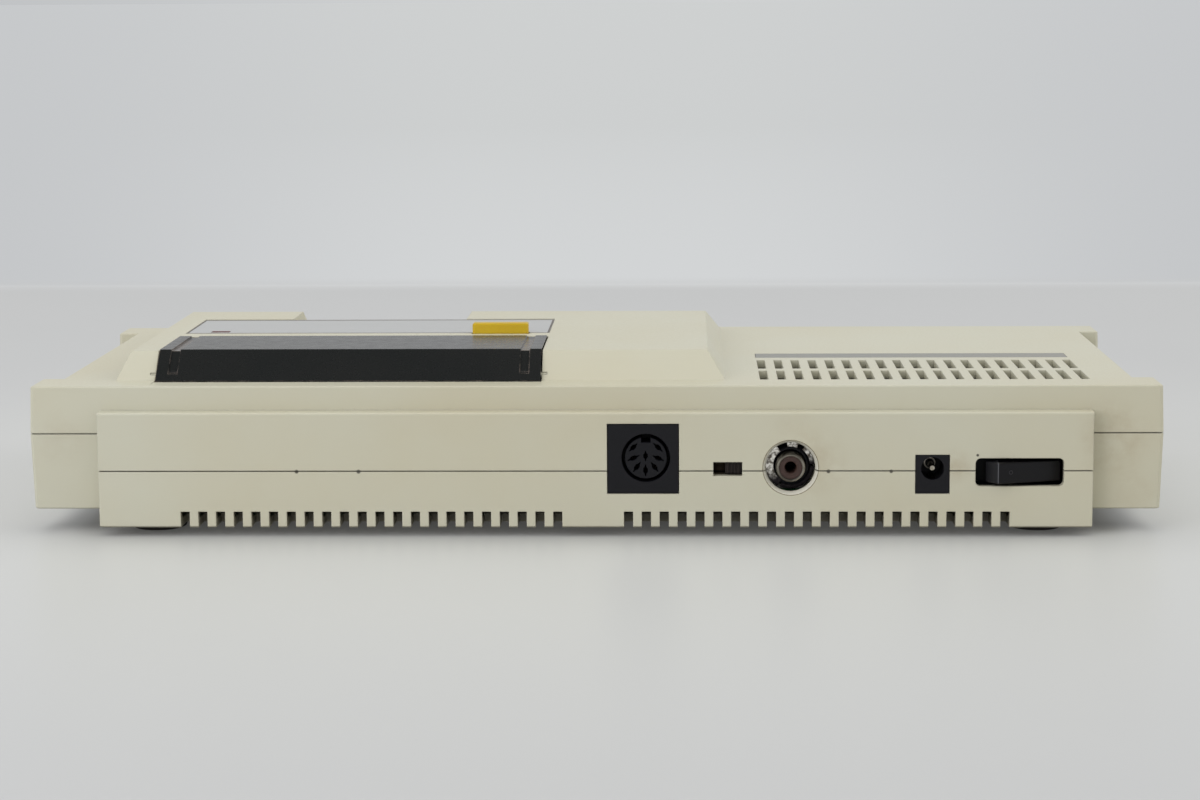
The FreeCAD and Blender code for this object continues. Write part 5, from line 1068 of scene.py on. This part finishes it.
UNDER_X, UNDER_Y = (0.159, 0.150), (0.064, 0.050)  # where the shade under the console starts and is full
table_paint, shader = start_material("table_paint", Specular_IOR_Level=0.35, Emission_Strength=1.0)
place = object_place()
axes = split(place)
beyond = ramp((axes, "Y"), (TABLE_END, BACKDROP_START), soft=True)
radius = (add("VectorMath", {"operation": "LENGTH"}, _0=place), "Value")
# Painted pool of light: the table's tone falls off with the distance from the console.
outside = ramp(radius, (CLEAR_RADIUS, OUTSIDE_RADIUS), soft=True)
under_x = ramp(calc("ABSOLUTE", (axes, "X")), UNDER_X, (0.0, UNDER_SHADE), soft=True)
under_y = calc("MULTIPLY", ramp((axes, "Y"), UNDER_Y, soft=True),
               calc("GREATER_THAN", (axes, "Y"), UNDER_FRONT))
under = calc("MULTIPLY", under_x, under_y)
shaded = mix(under, mix(outside, TABLE_TONE, TABLE_OUTSIDE), BLACK)
connect(shader, Base_Color=mix(beyond, shaded, BLACK))

# %% Light and sheen of the table and the backdrop
TABLE_GLOW, BACKDROP_EVEN = (66, 66, 65), -2.4  # the backdrop's tone is even beyond this
middle_tone = mix(ramp((axes, "Y"), (BACKDROP_START, BACKDROP_EVEN)), NEAR_TABLE, BACKDROP)
across = calc("SUBTRACT", (axes, "X"), CAMERA_PLACE.x)
away = calc("SUBTRACT", CAMERA_PLACE.y, (axes, "Y"))
backdrop = effect("backdrop_fade", Across=across, Away=away, Middle=middle_tone)
sheen = ramp(noise(place, scale=3.0, detail=2.0), (0.0, 1.0), (0.34, 0.44))
connect(shader, Emission_Color=mix(beyond, TABLE_GLOW, (backdrop, "Color")),
        Roughness=calc("MAXIMUM", sheen, beyond))
floor_data.materials.append(table_paint)
print("quad", [round(side, 1) for side in floor.dimensions], "m")

# %% [markdown]
# ## The light
#
# A light tent gives light from all sides, so most of it comes from the world. What the
# camera and reflections see of the world is set apart from what lights the console: the
# camera sees the backdrop's tone, and glossy surfaces see it near the horizon and something
# darker overhead, which is why the door is black on its slope and grey on its top. Three
# large soft lamps give the shape. The first stands beside the camera on the left, a little
# bluer than the others, so that the rear wall gets darker to the right. The second is to the
# right of the picture, and the third above.

# %% World
WORLD_LIGHT = 0.85
HORIZON, OVERHEAD, SEEN = (210, 211, 212), (96, 97, 99), (206, 208, 209)
world = bpy.data.worlds.new("light_tent")
scene.world = world
world.use_nodes = True
world.node_tree.nodes.clear()
bench["tree"] = world.node_tree
rays = add("LightPath")
axes = add("SeparateXYZ", Vector=(add("TexCoord"), "Generated"))
mirrored = mix(ramp((axes, "Z"), (0.3, 0.75), soft=True), HORIZON, OVERHEAD)
shiny = calc("MAXIMUM", (rays, "Is Glossy Ray"), (rays, "Is Transmission Ray"))
backdrop = effect("backdrop_fade", Across=(axes, "X"), Away=calc("MULTIPLY", (axes, "Y"), -1.0),
                  Middle=SEEN)
tent = add("Background", Color=(255, 255, 255), Strength=WORLD_LIGHT)
reflected = add("Background", Color=mirrored, Strength=1.0)
behind = add("Background", Color=(backdrop, "Color"), Strength=1.0)
lit = add("MixShader", _0=shiny, _1=(tent, "Background"), _2=(reflected, "Background"))
seen = add("MixShader", _0=(rays, "Is Camera Ray"), _1=(lit, "Shader"), _2=(behind, "Background"))
add("OutputWorld", Surface=(seen, "Shader"))

# %% Lamps
LAMP_TARGET = Vector((0, 0, 0.03))
LAMPS = {  # place, size and power, all in metres and watts, and colour
    "beside_camera": ((0.9, 1.0, 0.45), 0.9, 7.3, (0.92, 0.92, 1.0)),
    "picture_right": ((-2.0, 0.1, 1.2), 1.4, 12.6, (1.0, 1.0, 0.97)),
    "overhead": ((0.2, -0.35, 1.5), 1.6, 7.0, (1.0, 1.0, 1.0)),
}
for name, (spot, size, power, colour) in LAMPS.items():
    light = bpy.data.lights.new(name, "AREA")
    light.shape, light.size, light.energy, light.color = "SQUARE", size, power, colour
    lamp = bpy.data.objects.new(name, light)
    direction = LAMP_TARGET - Vector(spot)
    lamp.matrix_world = Matrix.Translation(spot) @ direction.to_track_quat("-Z", "Y").to_matrix().to_4x4()
    lamp.visible_glossy = False  # a lamp isn't seen in the glossy door
    scene.collection.objects.link(lamp)
print("lamps:", ", ".join(LAMPS))

# %% [markdown]
# ## Last settings
#
# The view transform is Standard, so a colour on the screen is the colour that was written.

# %% Measure the sizes and finish
scene.view_settings.view_transform = "Standard"
low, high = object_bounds()
print("visual box", [round((b - a) / MM, 1) for a, b in zip(low, high)], "mm")
